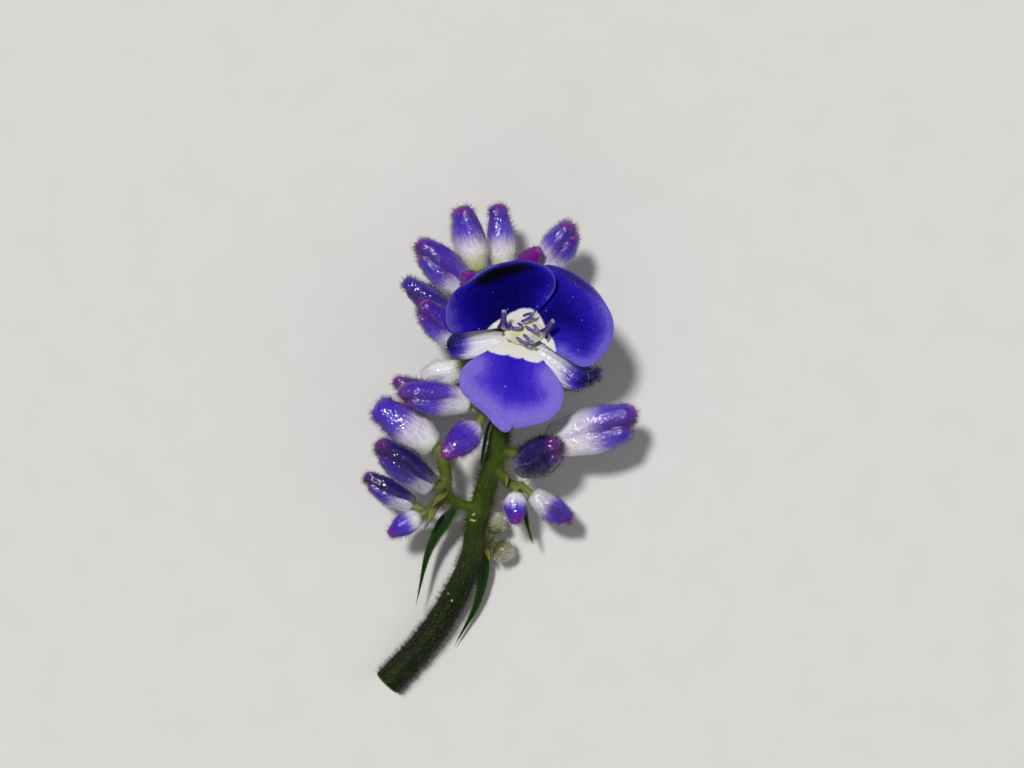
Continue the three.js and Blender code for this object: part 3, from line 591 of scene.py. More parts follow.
class Bud:
    """Axes and surface of one bud. Sepal 0 is the longest."""

    def __init__(self, spec, rng):
        self.base = np.array(spec["base"])
        line = np.array(spec["tip"]) - self.base
        self.length = np.linalg.norm(line)
        self.axis = line / self.length
        self.half = spec["width"] / 2
        self.spread = spec.get("spread", 0)
        self.cover = spec.get("cover", 0)
        self.rounded = spec.get("rounded", 0.14)
        up, right = square_to(self.axis, UP)
        turns = np.radians(spec["turn"] + np.array([0, 120, 240]))
        self.outward = [up * math.cos(a) + right * math.sin(a) for a in turns]
        self.sideways = [np.cross(self.axis, outward) for outward in self.outward]
        self.phases = rng.uniform(0, 2 * math.pi, (3, 3))

    def centre(self, sepal, t):
        tucked = 1 - (0.45 if sepal == 0 else 0.15) * self.cover
        along = (t * SEPAL_LENGTHS[sepal] * self.length)[..., None] * self.axis
        out = (self.half * sepal_offset(t, self.spread) * tucked)[..., None] * self.outward[sepal]
        return self.base + along + out

    def girth(self, t):
        return self.half * sepal_girth(t, self.rounded)

    def broadness(self, sepal, t):
        return 1 + (0.42 * self.cover * smoothstep(t, 0, 0.35) if sepal == 0 else 0 * t)

    def surface(self, sepal, t, turn):
        a, b, c = self.phases[sepal]
        lumps = 1 + 0.018 * np.sin(3 * turn + 9 * t + a) + 0.014 * np.sin(5 * turn - 13 * t + b)
        ribs = 1 + 0.012 * np.cos(11 * turn + c) * smoothstep(t, 0.1, 0.3)
        radius = (self.girth(t) * lumps * ribs)[..., None]
        wide = self.broadness(sepal, t)[..., None]
        around = (np.cos(turn)[..., None] * self.outward[sepal]
                  + np.sin(turn)[..., None] * wide * self.sideways[sepal])
        return self.centre(sepal, t) + around * radius

    def gap(self, sepal, points):
        """How far points are outside the nearer of the other two sepals, or inside if negative."""
        gaps = []
        for other in {0, 1, 2} - {sepal}:
            whole = SEPAL_LENGTHS[other] * self.length
            t = np.clip((points - self.base) @ self.axis / whole, 0, 1)
            away = points - self.centre(other, t)
            across = away @ self.sideways[other] / self.broadness(other, t)
            along = away @ self.axis
            reach = np.sqrt(across**2 + (away @ self.outward[other]) ** 2 + along**2)
            gaps.append(reach - self.girth(t))
        return np.minimum(*gaps)


def of_sepal(value, sepal):
    """A sepal's own value, where one may be given for all three."""
    return np.broadcast_to(value, 3)[sepal]


def bud_tone(spec, sepal, t):
    """Place on the ramp of colours: 0 greenish, 0.3 white, 0.5 to 0.75 violet and 1 magenta."""
    if spec.get("colour") == "red":
        return 0.8 + 0.16 * smoothstep(t, 0, 0.5)
    if spec.get("colour") == "young":
        return t
    white = of_sepal(spec.get("white", WHITE), sepal)
    violet = max(of_sepal(spec.get("magenta", MAGENTA), sepal), white + 0.22)
    green = spec.get("green", 0)
    stops = [0, (0.3 + 0.3 * green) * white, white, white + 0.2, violet, max(1.02, violet + 0.1)]
    tones = [0.2 - 0.2 * green, 0.25 - 0.1 * green, 0.34, 0.54, 0.76, 1.0]
    return np.interp(t, stops, tones)


def bud_shade(spec, sepal, t):
    """How much painted shade darkens the bud's colours, least at the tip."""
    return of_sepal(spec.get("shade", 0), sepal) * (1 - 0.5 * smoothstep(t, 0.75, 0.95))


def bud_shell(spec, bud, seed):
    shell = Shell()
    spaced = 0.5 - 0.5 * np.cos(np.linspace(0, math.pi, BUD_RINGS + 2))[1:-1]
    t, turn = grid(spaced, round_angles(BUD_SIDES, -math.pi))
    for sepal in range(3):
        ends = bud.centre(sepal, np.array([0.0, 1.0]))
        points = np.vstack([bud.surface(sepal, t, turn).reshape(-1, 3), ends])
        along = np.concatenate([t.ravel(), [0, 1]])
        around = np.concatenate([turn.ravel(), [0, 0]])
        grain = np.stack([around * bud.half * 0.6, along * bud.length,
                          np.full(len(along), seed + 7.0 * sepal)], -1)
        shell.add(
            points, tube_faces(BUD_RINGS, BUD_SIDES), grain=grain,
            tone=bud_tone(spec, sepal, along),
            edge=smoothstep(np.abs(around), *MARGIN) * (spec.get("colour") != "young"),
            shade=bud_shade(spec, sepal, along),
            # Painted crease shade: darker where another sepal is near, more towards the tip
            seam=(np.exp(-np.maximum(bud.gap(sepal, points), 0) / SEAM_REACH)
                  * (0.3 + 0.7 * smoothstep(along, 0.2, 0.7))),
        )
    t = np.linspace(0.02, 0.98, CORE_RINGS)
    wide = spec.get("core", CORE_RADIUS)
    radius = bud.half * wide * quarter(t / 0.2) * quarter((1 - t) / 0.35)
    centres = bud.base + (t * CORE_LENGTH * bud.length)[:, None] * bud.axis
    points, faces = stalk(np.hstack([centres, radius[:, None]]), CORE_SIDES, CORE_RINGS)
    # The core between the sepals gets 0.3 more painted shade and, unless widened, strong painted
    # crease shade
    shell.add(points, faces, grain=np.hstack([points[:, :2], np.full((len(points), 1), seed)]),
              tone=CORE_TONE, edge=0, seam=0.8 if wide == CORE_RADIUS else 0.15,
              shade=0.3 + bud_shade(spec, 0, 0.5))
    return shell


def bud_hairs(name, spec, bud, rng):
    """Hairs all over the sepals, longer and closer together towards their margins."""
    colour = spec.get("colour")
    bare = 0 if colour == "young" else BARE_MIDDLE
    tried = int(BUD_HAIRS * math.pi * 2 * bud.half * bud.length * 1.5)
    parts = []
    for sepal in range(3):
        t = rng.uniform(0.05, 0.995, tried)
        turn = rng.uniform(-math.pi, math.pi, tried)
        margin = smoothstep(np.abs(turn), *MARGIN)
        dense = bud.girth(t) / bud.half / 0.75 * (1 - bare * (1 - margin))
        root = bud.surface(sepal, t, turn)
        kept = (rng.uniform(0, 1, tried) < dense) & (bud.gap(sepal, root) > SEAM_REACH)
        t, turn, margin, root = t[kept], turn[kept], margin[kept], root[kept]
        along = bud.surface(sepal, t + 0.004, turn) - root
        across = bud.surface(sepal, t, turn + 0.02) - root
        parts.append((root, unit(np.cross(across, along)), bud_tone(spec, sepal, t),
                      bud_shade(spec, sepal, t), 0.5 + 0.5 * margin))
    roots, normals, tone, shade, grown = (np.concatenate(values) for values in zip(*parts))
    if colour == "red":
        grown = grown * RED_HAIRS
    if colour == "young":
        tone = YOUNG_HAIR_TONE
    add_hairs(f"{name}_hairs", roots, normals, 0.12 * bud.axis, rng, tone, shade, grown)


def make_buds():
    for number, (name, spec) in enumerate(BUDS.items()):
        rng = np.random.default_rng(100 + number)
        bud = Bud(spec, rng)
        look = "young" if spec.get("colour") == "young" else "bud"
        add_piece(f"{name}_sepals", bud_shell(spec, bud, 3.1 * number), look, [name])
        bud_hairs(name, spec, bud, rng)


# Stem with its branches and the stalks of the buds. Its kind goes from 0 on the stem over 0.5 on
# a branch to 1 on a bud's stalk.
STEM_VOXEL, STEM_SMOOTHING, KIND_SMOOTHING = 0.2, 5, 60
STALK_SIDES = 24
STEM_HAIRS_GROWN = 1.15


def nearest_on_branches(place):
    paths = [*BRANCHES, STEM[UPPER_STEM_FROM:]]
    sampled = [curve_points(np.array(path)[:, :3], np.linspace(0, 1, 25)) for path in paths]
    points = np.vstack(sampled)
    return points[np.argmin(np.linalg.norm(points - place, axis=1))]


def pedicel_path(spec):
    base, tip = np.array(spec["base"]), np.array(spec["tip"])
    inward = unit(tip - base)
    start = nearest_on_branches(base)
    neck = 0.14 * spec["width"]
    middle = (start + base) / 2 - inward * 0.3
    return [(*start, 0.85 * neck), (*middle, 0.85 * neck), (*(base + inward * 0.5), neck)]


def stem_paths():
    """Every stalk with its kind."""
    pedicels = [(pedicel_path(spec), 1.0) for spec in BUDS.values()]
    branches = [(path, 0.5) for path in BRANCHES]
    return [(STEM, 0.0), (FLOWER_STALK, 0.6), *branches, *pedicels]


def stalk_samples(path, kind):
    """Places close together on a stalk, with its frame there, the length so far and its kind."""
    along = np.linspace(0, 1, 14 * len(path))
    centres, directions, first, second = stalk_frames(path, along)
    steps = np.linalg.norm(np.diff(centres, axis=0), axis=1)
    length = np.concatenate([[0], np.cumsum(steps)])
    return np.hstack([centres, directions, first, second, length[:, None],
                      np.full((len(along), 1), kind)])


def make_stem():
    paths = stem_paths()
    parts = [stalk(path, STALK_SIDES, 8 * len(path)) for path, _ in paths]
    points, faces, normals = blend_parts(parts, STEM_VOXEL, STEM_SMOOTHING)
    samples = np.vstack([stalk_samples(path, kind) for path, kind in paths])
    tree = tree_of(samples[:, :3])
    nearest = samples[[tree.find(point)[1] for point in points]]
    centre, direction, first, second = (nearest[:, k:k + 3] for k in (0, 3, 6, 9))
    length, own_kind = nearest[:, 12], nearest[:, 13]
    away = points - centre
    onward, across, up_across = (np.sum(away * axis, axis=1) for axis in (direction, first, second))
    along = length + onward
    kind = evened(faces, own_kind, KIND_SMOOTHING)
    cut, inside = (np.array(place[:3]) for place in STEM[:2])
    from_cut = (cut - points) @ unit(cut - inside)
    around = np.arctan2(up_across, across)
    ridges = 0.035 * np.cos(9 * around + 0.6 * np.sin(along * 0.5))
    ridges = ridges + 0.03 * np.sin(along * 1.7 + 2 * np.cos(around))
    scars = nearness(points, SCARS, SCAR_REACH)
    skin = smoothstep(from_cut, 0.1, 0.6) * (1 - smoothstep(own_kind, 0, 0.4))
    points = points + normals * (ridges * skin - 0.06 * scars)[:, None]
    points[:, 2] = np.maximum(points[:, 2], 0)
    mesh = add_skin("stem_skin", points, faces, "stem", "stem", kind=kind, scar=scars,
                    grain=np.stack([across, up_across, along], -1),
                    # Painted shade: the lower stem darkened towards the cut end
                    low=1 - smoothstep(points[:, 1], *DARK_STEM),
                    cut=1 - smoothstep(from_cut, 0.05, 0.3), core=np.linalg.norm(away, axis=1),
                    brown=nearness(points, [NODE_TUFT], TUFT_REACH))
    make_stem_hairs(mesh, from_cut, kind)


def make_stem_hairs(mesh, from_cut, kind):
    rng = np.random.default_rng(7)
    mesh.calc_loop_triangles()
    corners = read_all(mesh.loop_triangles, "vertices", 3, np.int32)
    corner_points = read_all(mesh.vertices, "co", 3)[corners] / MM
    cross = np.cross(corner_points[:, 1] - corner_points[:, 0],
                     corner_points[:, 2] - corner_points[:, 0])
    area = np.linalg.norm(cross, axis=1) / 2
    area[(from_cut[corners] < 0.3).any(1)] = 0
    count = int(area.sum() * STEM_HAIRS)
    chosen = rng.choice(len(area), count, p=area / area.sum())
    weights = rng.dirichlet((1, 1, 1), count)
    roots = np.einsum("ij,ijk->ik", weights, corner_points[chosen])
    # Hairs on the lower stem get the same painted shade
    add_hairs("stem_hairs", roots, unit(cross[chosen]), np.array([0.0, 0.06, 0.0]), rng,
              kind[corners[chosen, 0]], 0.7 * (1 - smoothstep(roots[:, 1], *DARK_STEM)),
              STEM_HAIRS_GROWN, "green_hair")


# Open flower. Flat places go from its middle; u runs from a blade's foot to its rim or tip and v
# across it.
PETAL_ROWS, PETAL_COLUMNS = 48, 240
SEPAL_ROWS, SEPAL_COLUMNS = 56, 41
ANTHER_SIDES = 16
UPRIGHT_VOXEL, FLAT_VOXEL = 0.075, 0.05
OVARY_VOXEL, OVARY_RINGS, OVARY_SIDES = 0.11, 16, 48


def polar(flat):
    """Distance from the flower's middle and angle in degrees."""
    return np.hypot(flat[..., 0], flat[..., 1]), np.degrees(np.arctan2(flat[..., 1], flat[..., 0]))


def follow(at, stops):
    """Value at places between stops that each give a place and its value."""
    return np.interp(at, *np.array(stops).T)


def bent_share(spec, v):
    """1 along the stretch of a petal's rim that curls back, 0 elsewhere."""
    start, end = spec["bent"]
    return smoothstep(v, start, start + 0.08) * (1 - smoothstep(v, end, end + 0.08))


def petal_lift(spec, flat, u, v, rng):
    """Height of a petal's blade above its level middle."""
    distance, angle = polar(flat)
    out = np.maximum(0, (distance - LEVEL_RADIUS) / (spec["reach"] - LEVEL_RADIUS))
    lift = spec["rise"] * ((1 - spec["steep"]) * out + spec["steep"] * out**3)
    under = 0.2 + 0.8 * smoothstep(distance, LEVEL_RADIUS, 7)
    lift = lift - spec["tuck"] * under * smoothstep(angle, 28, 50)
    lift = lift - spec["curl"] * smoothstep(u, 0.86, 1.0) ** 2 * bent_share(spec, v)
    waves = sum(
        rng.uniform(0.02, 0.06) * np.sin(rate * v * math.pi + rng.uniform(0, 6.3))
        for rate in (5, 9, 14, 23)
    )
    folds = 0.1 * np.sin(np.radians(angle) * 6 + 1.5 * np.sin(distance * 0.35))
    veins = 0.012 * np.sin(angle * 1.3 + 3 * np.sin(distance * 0.8))
    veins = veins + 0.008 * np.sin(angle * 2.9 - 2 * np.sin(distance * 1.3))
    outer = smoothstep(u, 0.4, 0.9)
    return lift + waves * smoothstep(u, 0.55, 1) + folds * smoothstep(u, 0.3, 0.9) + veins * outer


def make_petals():
    u, v = grid(np.linspace(0, 1, PETAL_ROWS) ** 0.8, np.linspace(0, 1, PETAL_COLUMNS))
    for number, (name, spec) in enumerate(PETALS.items()):
        rng = np.random.default_rng(20 + number)
        rim = curve_points([(*place, 0.0) for place in spec["outline"]], v[0])
        foot, foot_end = np.array([(*place, 0.0) for place in spec["foot"]])
        start = foot + (foot_end - foot) * v[0][:, None]
        flat = start[None] + (rim - start)[None] * u[..., None]
        if "notch" in spec:
            at = np.array([*spec["notch"], 0.0])
            pull = bell(np.linalg.norm(rim - at, axis=1), 0, NOTCH_WIDTH)
            flat = flat - (unit(rim) * pull[:, None])[None] * NOTCH_DEPTH * (u**40)[..., None]
        place = flat + FLOWER + UP * petal_lift(spec, flat, u, v, rng)[..., None]
        thickness = PETAL_THICKNESS * (1 - 0.7 * smoothstep(u, 0.8, 1))
        shell = petal_shell(spec, flat, v, place, thickness, number)
        add_piece(f"{name}_blade", shell, "petal", [name])


def petal_shell(spec, flat, v, place, thickness, number):
    """A petal's blade with the values that colour it."""
    first, last = RIM_SHARES
    tree = tree_of(flat[-1][(v[-1] > first) & (v[-1] < last)])
    margin = np.array([tree.find(point)[2] for point in flat.reshape(-1, 3)]).reshape(v.shape)
    distance, angle = polar(flat)
    first_edge = spec["white"][0][0]
    turned = (angle - first_edge + 90) % 360 + first_edge - 90
    # Painted shadow of the curled lip: a near-black band just inside it
    reach = follow(v, spec["shadow"])
    shadow = np.clip(reach / 2.2, 0, 1) * (1 - smoothstep(margin / (reach + 0.01), 0.6, 1.1))
    # Painted highlight: a light line along the curled lip
    edge = 1 - smoothstep(margin, 0.05, 0.4 * spec["lip"] + 0.2)
    return blade_shell(
        place, thickness, (np.radians(turned) * 9, distance, 5.0 * number),
        beyond=distance - follow(turned, spec["white"]),
        pale=follow(turned, spec["pale"]) * follow(margin, spec["fade"]),
        # Painted shade: 1 gives the petal the darker blues
        deep=np.full(v.shape, spec["deep"]),
        dusk=shadow * smoothstep(margin, spec["lip"] - 0.2, spec["lip"] + 0.1),
        rim=edge * follow(v, spec["rim"]), middle=1 - smoothstep(distance, 2.0, 4.6),
    )


def make_flower_sepals():
    u, v = grid(np.linspace(0, 1, SEPAL_ROWS) ** 0.85, np.linspace(0, 1, SEPAL_COLUMNS))
    across = 2 * v - 1
    for number, (name, spec) in enumerate(SEPALS.items()):
        forward = np.array([math.cos(math.radians(spec["angle"])),
                            math.sin(math.radians(spec["angle"])), 0])
        left = np.array([-forward[1], forward[0], 0])
        width = spec["half"] * (0.5 + 0.5 * smoothstep(u, 0, 0.4)) * (
            0.12 + 0.88 * quarter((1 - u) / 0.3))
        height = (spec["level"] + 0.6 * u + spec["cup"] * smoothstep(u, 0.05, 0.5) * across**2
                  + 0.7 * smoothstep(u, 0.75, 1))
        ribs = 0.035 * np.cos(across * 19 + 0.4 * np.sin(u * 9)) * smoothstep(u, 0.1, 0.4)
        hood = 0.5 * smoothstep(u, 0.9, 1) * (1 - across**2)
        place = (
            FLOWER_GROUND + UP * (height + hood + ribs)[..., None]
            + forward * (SEPAL_FOOT + (spec["length"] - SEPAL_FOOT) * u)[..., None]
            + left * (across * width)[..., None]
        )
        shaded = across * spec["shaded"]
        shell = blade_shell(
            place, SEPAL_THICKNESS * (1 - 0.5 * np.abs(across) ** 3),
            (across * width, u * spec["length"], 4.0 * number),
            tone=u - 0.16 * smoothstep(shaded, -0.2, -1), edge=np.abs(across),
            # Painted shadow on the side that a petal shades
            grey=smoothstep(shaded, *spec["grey"]),
        )
        add_piece(f"{name}_blade", shell, "sepal", [name])
        rng = np.random.default_rng(60 + number)
        above, below = np.split(shell.points[0], 2)
        picked = rng.integers(0, len(below), SEPAL_HAIRS)
        add_hairs(f"{name}_hairs", below[picked], unit(below[picked] - above[picked]),
                  0.3 * forward, rng, 0.5, grown=0.55)


# Of an upright anther, from its apex down: share of the way, how far apart the sacs are and radius
SAC = ((0, 0.24, 0.2), (0.12, 0.27, 0.24), (0.35, 0.3, 0.26), (0.6, 0.36, 0.26), (0.82, 0.62, 0.27),
       (1, 1, 0.3))
BETWEEN_SACS = ((0.01, 0, 0.2), (0.1, 0, 0.28), (0.5, 0, 0.28), (0.8, 0, 0.38), (1.0, 0, 0.3))


def upright_parts(spec):
    """Two sacs that lie close together and part towards their feet, and what joins them."""
    apex, legs = np.array(spec["apex"]), np.array(spec["legs"])
    foot, apart = legs.mean(0), (legs[1] - legs[0]) / 2
    parts = []
    for side, shape, steps in ((-1, SAC, 30), (1, SAC, 30), (0, BETWEEN_SACS, 24)):
        path = [(*(apex + (foot - apex) * share + side * apart * spread + FLOWER_GROUND), radius)
                for share, spread, radius in shape]
        parts.append(stalk(path, ANTHER_SIDES, steps))
    return parts


def flat_parts(spec):
    low, high = spec["levels"]
    parts = []
    for sac in spec["sacs"]:
        heights = np.linspace(low, high, len(sac))
        swell = [0.95, *[1.0] * (len(sac) - 2), 0.85]
        path = [(FLOWER[0] + x, FLOWER[1] + y, z, FLAT_RADIUS * share)
                for (x, y), z, share in zip(sac, heights, swell)]
        parts.append(rounded_stalk(path))
    return parts


def rounded_stalk(path):
    """A stalk with a half ball at each end."""
    caps = [(0.95, 0.3), (0.7, 0.72)]
    ends = []
    for end, inner in ((path[0], path[1]), (path[-1], path[-2])):
        end, inner = np.array(end), np.array(inner)
        outward = unit(end[:3] - inner[:3]) * end[3]
        ends.append([(*(end[:3] + outward * reach), end[3] * share) for reach, share in caps])
    return stalk([*ends[0], *path, *reversed(ends[1])], ANTHER_SIDES, 8 * len(path) + 16)


def make_anthers():
    for name, spec in UPRIGHT_ANTHERS.items():
        points, faces, _ = blend_parts(upright_parts(spec), UPRIGHT_VOXEL)
        apex, legs = np.array(spec["apex"]), np.array(spec["legs"])
        line = legs.mean(0) - apex
        away = points - FLOWER_GROUND - apex
        share = away @ line / (line @ line)
        apart = unit(legs[1] - legs[0])
        sideways = np.abs(away @ apart - share * (line @ apart))
        between = 1 - smoothstep(sideways, 0.12, 0.4)
        # The apex is paler: the connective's own blue-grey with a painted highlight
        add_skin(f"{name}_sacs", points, faces, "anther", name, between=between,
                 tip=1 - smoothstep(share, 0.0, 0.14), pink=between * smoothstep(share, 0.7, 0.98))
    for name, spec in FLAT_ANTHERS.items():
        points, faces, _ = blend_parts(flat_parts(spec), FLAT_VOXEL)
        join = FLOWER_GROUND + [*spec["join"], spec["levels"][1] + FLAT_RADIUS]
        # The join of the sacs is paler: the connective's own blue-grey with a painted highlight
        add_skin(f"{name}_sacs", points, faces, "anther", name, between=0.5,
                 tip=0.8 * nearness(points, [join], 0.3), pink=0)


def filament_heads():
    """Where each filament meets its anther: just inside its underside."""
    heads = []
    for spec in UPRIGHT_ANTHERS.values():
        legs = np.array(spec["legs"])
        heads.append(legs.mean(0) * 0.95 + np.array(spec["apex"]) * 0.05)
    for spec in FLAT_ANTHERS.values():
        sac = spec["sacs"][0]
        x, y = sac[len(sac) // 2]
        heads.append(np.array([x, y, sum(spec["levels"]) / 2 - FLAT_RADIUS * 0.8]))
    return [head + FLOWER_GROUND for head in heads]


def make_ovary():
    centre = FLOWER_GROUND + [DOME["x"], DOME["y"], DOME["level"]]
    share, turn = grid(np.linspace(1, 0.05, OVARY_RINGS), round_angles(OVARY_SIDES))
    dome = centre + np.stack(
        [DOME["half_length"] * share * np.cos(turn), DOME["half_width"] * share * np.sin(turn),
         DOME["height"] * (1 - smoothstep(share, 0.1, 1.0) ** 1.4)], -1,
    )
    ends = [centre, centre + UP * DOME["height"]]
    parts = [(np.vstack([dome.reshape(-1, 3), ends]), tube_faces(OVARY_RINGS, OVARY_SIDES))]
    column = (FLOWER[0] + COLUMN["x"], FLOWER[1] + COLUMN["y"])
    parts.append(stalk([(*column, COLUMN["bottom"], COLUMN["radius"]),
                        (*column, DOME["level"] + DOME["height"] / 4, COLUMN["radius"])], 20, 12))
    heads = filament_heads()
    for head in heads:
        parts.append(stalk([(head[0], head[1], DOME["level"] + 0.1, FILAMENT_RADIUS[0]),
                            (*head, FILAMENT_RADIUS[1])], ANTHER_SIDES, 12))
    points, faces, _ = blend_parts(parts, OVARY_VOXEL)
    yellow, stains = (FLOWER_GROUND + np.array(places) for places in (YELLOW, STAINS))
    add_skin("ovary_dome", points, faces, "ovary", "ovary", near=nearness(points, heads[:2], 0.9),
             yellow=nearness(points, yellow, 0.6), stain=nearness(points, stains, 0.22))


def make_bracts():
    u, v = grid(np.linspace(0, 1, BRACT_ROWS), np.linspace(0, 1, BRACT_COLUMNS))
    share, across = u[:, 0], 2 * v - 1
    first = np.arange(0, u.size, BRACT_COLUMNS)
    rims = np.concatenate([first, first + BRACT_COLUMNS - 1])[np.tile(share, 2) < 0.9]
    for number, (name, spec) in enumerate(BRACTS.items()):
        direction = curve_directions(spec["line"], share)
        up, left = square_to(direction, UP)
        turn = math.radians(spec["turn"])
        up, left = (side * math.cos(turn) + np.cross(direction, side) * math.sin(turn)
                    for side in (up, left))
        width = spec["half"] * (0.55 + 0.45 * smoothstep(u, 0, 0.25)) * (
            1 - 0.97 * smoothstep(u, 0.1, 1.04))
        length = np.linalg.norm(np.diff(np.array(spec["line"]), axis=0), axis=1).sum()
        veins = 0.02 * np.cos(across * 17) * (1 - smoothstep(u, 0.7, 1))
        place = (
            curve_points(spec["line"], share)[:, None]
            - left[:, None] * (across * width)[..., None]
            + up[:, None] * (BRACT_FOLD * np.sqrt(across**2 + 0.02) * width + veins)[..., None]
        )
        taper = (1 - 0.55 * np.abs(across) ** 3) * (1 - 0.6 * smoothstep(u, 0.85, 1))
        kind = "bracteole" if name.startswith("bracteole") else "bract"
        shell = blade_shell(place, BRACT_THICKNESS * taper,
                            (across * width, u * length, 6.0 * number), tone=u, edge=np.abs(across))
        add_piece(f"{name}_blade", shell, kind, [name])
        rng = np.random.default_rng(80 + number)
        picked = rng.choice(rims, int(BRACT_HAIRS * length))
        row, roots = picked // BRACT_COLUMNS, place.reshape(-1, 3)[picked]
        outward = unit(roots - place[row, BRACT_COLUMNS // 2])
        add_hairs(f"{name}_hairs", roots, outward, 0.4 * direction[row], rng, 0.3,
                  grown=0.45, look="green_hair")


# Looks. Colours are given as on a screen, red, green and blue from 0 to 255.

def rgb(red, green, blue):
    """A screen colour as the shader's linear one."""
    shares = [c / 255 for c in (red, green, blue)]
    return (*(c / 12.92 if c <= 0.04045 else ((c + 0.055) / 1.055) ** 2.4 for c in shares), 1.0)


class Look:
    """A material under construction: each method adds a node and returns what it gives."""

    def __init__(self, name, **constants):
        self.material = bpy.data.materials.new(name)
        self.material.use_nodes = True
        self.nodes = self.material.node_tree.nodes
        self.links = self.material.node_tree.links
        self.shader = self.nodes["Principled BSDF"]
        for socket, value in constants.items():
            self.shader.inputs[socket.replace("_", " ")].default_value = value

    def node(self, kind, inputs, **settings):
        made = self.nodes.new("ShaderNode" + kind)
        for name, value in settings.items():
            setattr(made, name, value)
        for key, value in inputs.items():
            if isinstance(value, bpy.types.NodeSocket):
                self.links.new(value, made.inputs[key])
            else:
                made.inputs[key].default_value = value
        return made

    def share(self, name):
        """A value that the shape carries."""
        return self.node("Attribute", {}, attribute_name=name).outputs["Fac"]

    def scaled(self, where, scale):
        return self.node("VectorMath", {0: where, 1: scale}, operation="MULTIPLY").outputs[0]

    def position(self):
        """Place on the piece itself, in millimetres."""
        return self.scaled(self.node("TexCoord", {}).outputs["Object"], (1 / MM,) * 3)

    def noise(self, where, scale, detail=3.0, roughness=0.55):
        inputs = {"Vector": where, "Scale": scale, "Detail": detail, "Roughness": roughness}
        return self.node("TexNoise", inputs).outputs["Fac"]

    def grain(self, scale, detail, roughness=0.55):
        """Noise along the shape's own grain, by scales across, along and maybe a third."""
        where = self.node("Attribute", {}, attribute_name="grain").outputs["Vector"]
        return self.noise(self.scaled(where, (*scale, 1.0)[:3]), 1.0, detail, roughness)

    def math(self, operation, a, b=0.0, c=0.0, clamp=False):
        inputs = {0: a, 1: b, 2: c}
        return self.node("Math", inputs, operation=operation, use_clamp=clamp).outputs[0]

    def add_noise(self, value, noise, amount):
        centred = self.math("SUBTRACT", noise, 0.5)
        return self.math("ADD", value, self.math("MULTIPLY", centred, amount), clamp=True)

    def between(self, value, low, high):
        inputs = {"Value": value, "From Min": low, "From Max": high}
        return self.node("MapRange", inputs, interpolation_type="SMOOTHSTEP").outputs[0]

    def ramp(self, factor, stops):
        """Colour by stops that each give a place, red, green and blue."""
        made = self.node("ValToRGB", {"Fac": factor})
        elements = made.color_ramp.elements
        while len(elements) < len(stops):
            elements.new(1.0)
        for element, (position, *screen) in zip(elements, stops):
            element.position = position
            element.color = rgb(*screen)
        return made.outputs["Color"]

    def mix(self, factor, a, b, blend="MIX"):
        made = self.node("Mix", {0: factor, 6: a, 7: b}, data_type="RGBA", blend_type=blend)
        return made.outputs[2]

    def tint(self, colour, screen, where, amount=1.0, blend="MIX"):
        """The colour with a screen colour over it, where a share says and by the amount at most."""
        if amount != 1.0:
            where = self.math("MULTIPLY", where, amount)
        return self.mix(where, colour, rgb(*screen), blend)

    def bump(self, height, distance, normal=None):
        inputs = {"Height": height, "Distance": distance * MM, "Strength": 1.0}
        if normal is not None:
            inputs["Normal"] = normal
        return self.node("Bump", inputs).outputs["Normal"]

    def finish(self, colour, roughness, normal=None):
        for socket, value in (("Base Color", colour), ("Roughness", roughness), ("Normal", normal)):
            if isinstance(value, bpy.types.NodeSocket):
                self.links.new(value, self.shader.inputs[socket])
            elif value is not None:
                self.shader.inputs[socket].default_value = value
        return self.material


def bud_look(name, gloss, stops):
    look = Look(name, Coat_Weight=gloss, Coat_IOR=1.6, Coat_Roughness=0.1, Specular_IOR_Level=0.1,
                Subsurface_Weight=0.05, Subsurface_Scale=0.5 * MM)
    tone = look.add_noise(look.share("tone"), look.grain((3.2, 0.42), 4.0, 0.6), 0.26)
    tone = look.add_noise(tone, look.grain((9.0, 3.0), 2.0), 0.07)
    colour = look.ramp(tone, stops)
    violet = look.between(look.share("tone"), 0.25, 0.5)
    edge = look.math("MULTIPLY", look.share("edge"), violet)
    colour = look.tint(colour, (94, 24, 158), edge, 0.5)
    # Painted crease shade where the sepals meet
    colour = look.tint(colour, (120, 104, 186), look.share("seam"), 0.7, "MULTIPLY")
    # Painted shade: colours darkened towards a dark blue where shade says
    colour = look.tint(colour, (8, 2, 56), look.share("shade"), 0.95)
    pits = look.grain((3.0, 2.2), 1.0, 0.35)
    ribs = look.grain((4.0, 0.5), 1.0)
    normal = look.bump(ribs, 0.05, look.bump(pits, 0.16))
    look.links.new(normal, look.shader.inputs["Coat Normal"])
    return look.finish(colour, 0.5, normal)


def hair_look(name, tip, stops):
    """Hairs coloured like what they grow on, with pale tips and the same painted shade."""
    look = Look(name, Specular_IOR_Level=0.06)
    tipward = look.between(look.share("tipward"), 0.25, 0.95)
    colour = look.tint(look.ramp(look.share("tone"), stops), tip, tipward, 0.8)
    # Painted shade: hairs darkened like what they grow on
    shade = look.math("MULTIPLY", look.share("shade"), 1.2, clamp=True)
    return look.finish(look.tint(colour, (14, 8, 40), shade), 0.4)


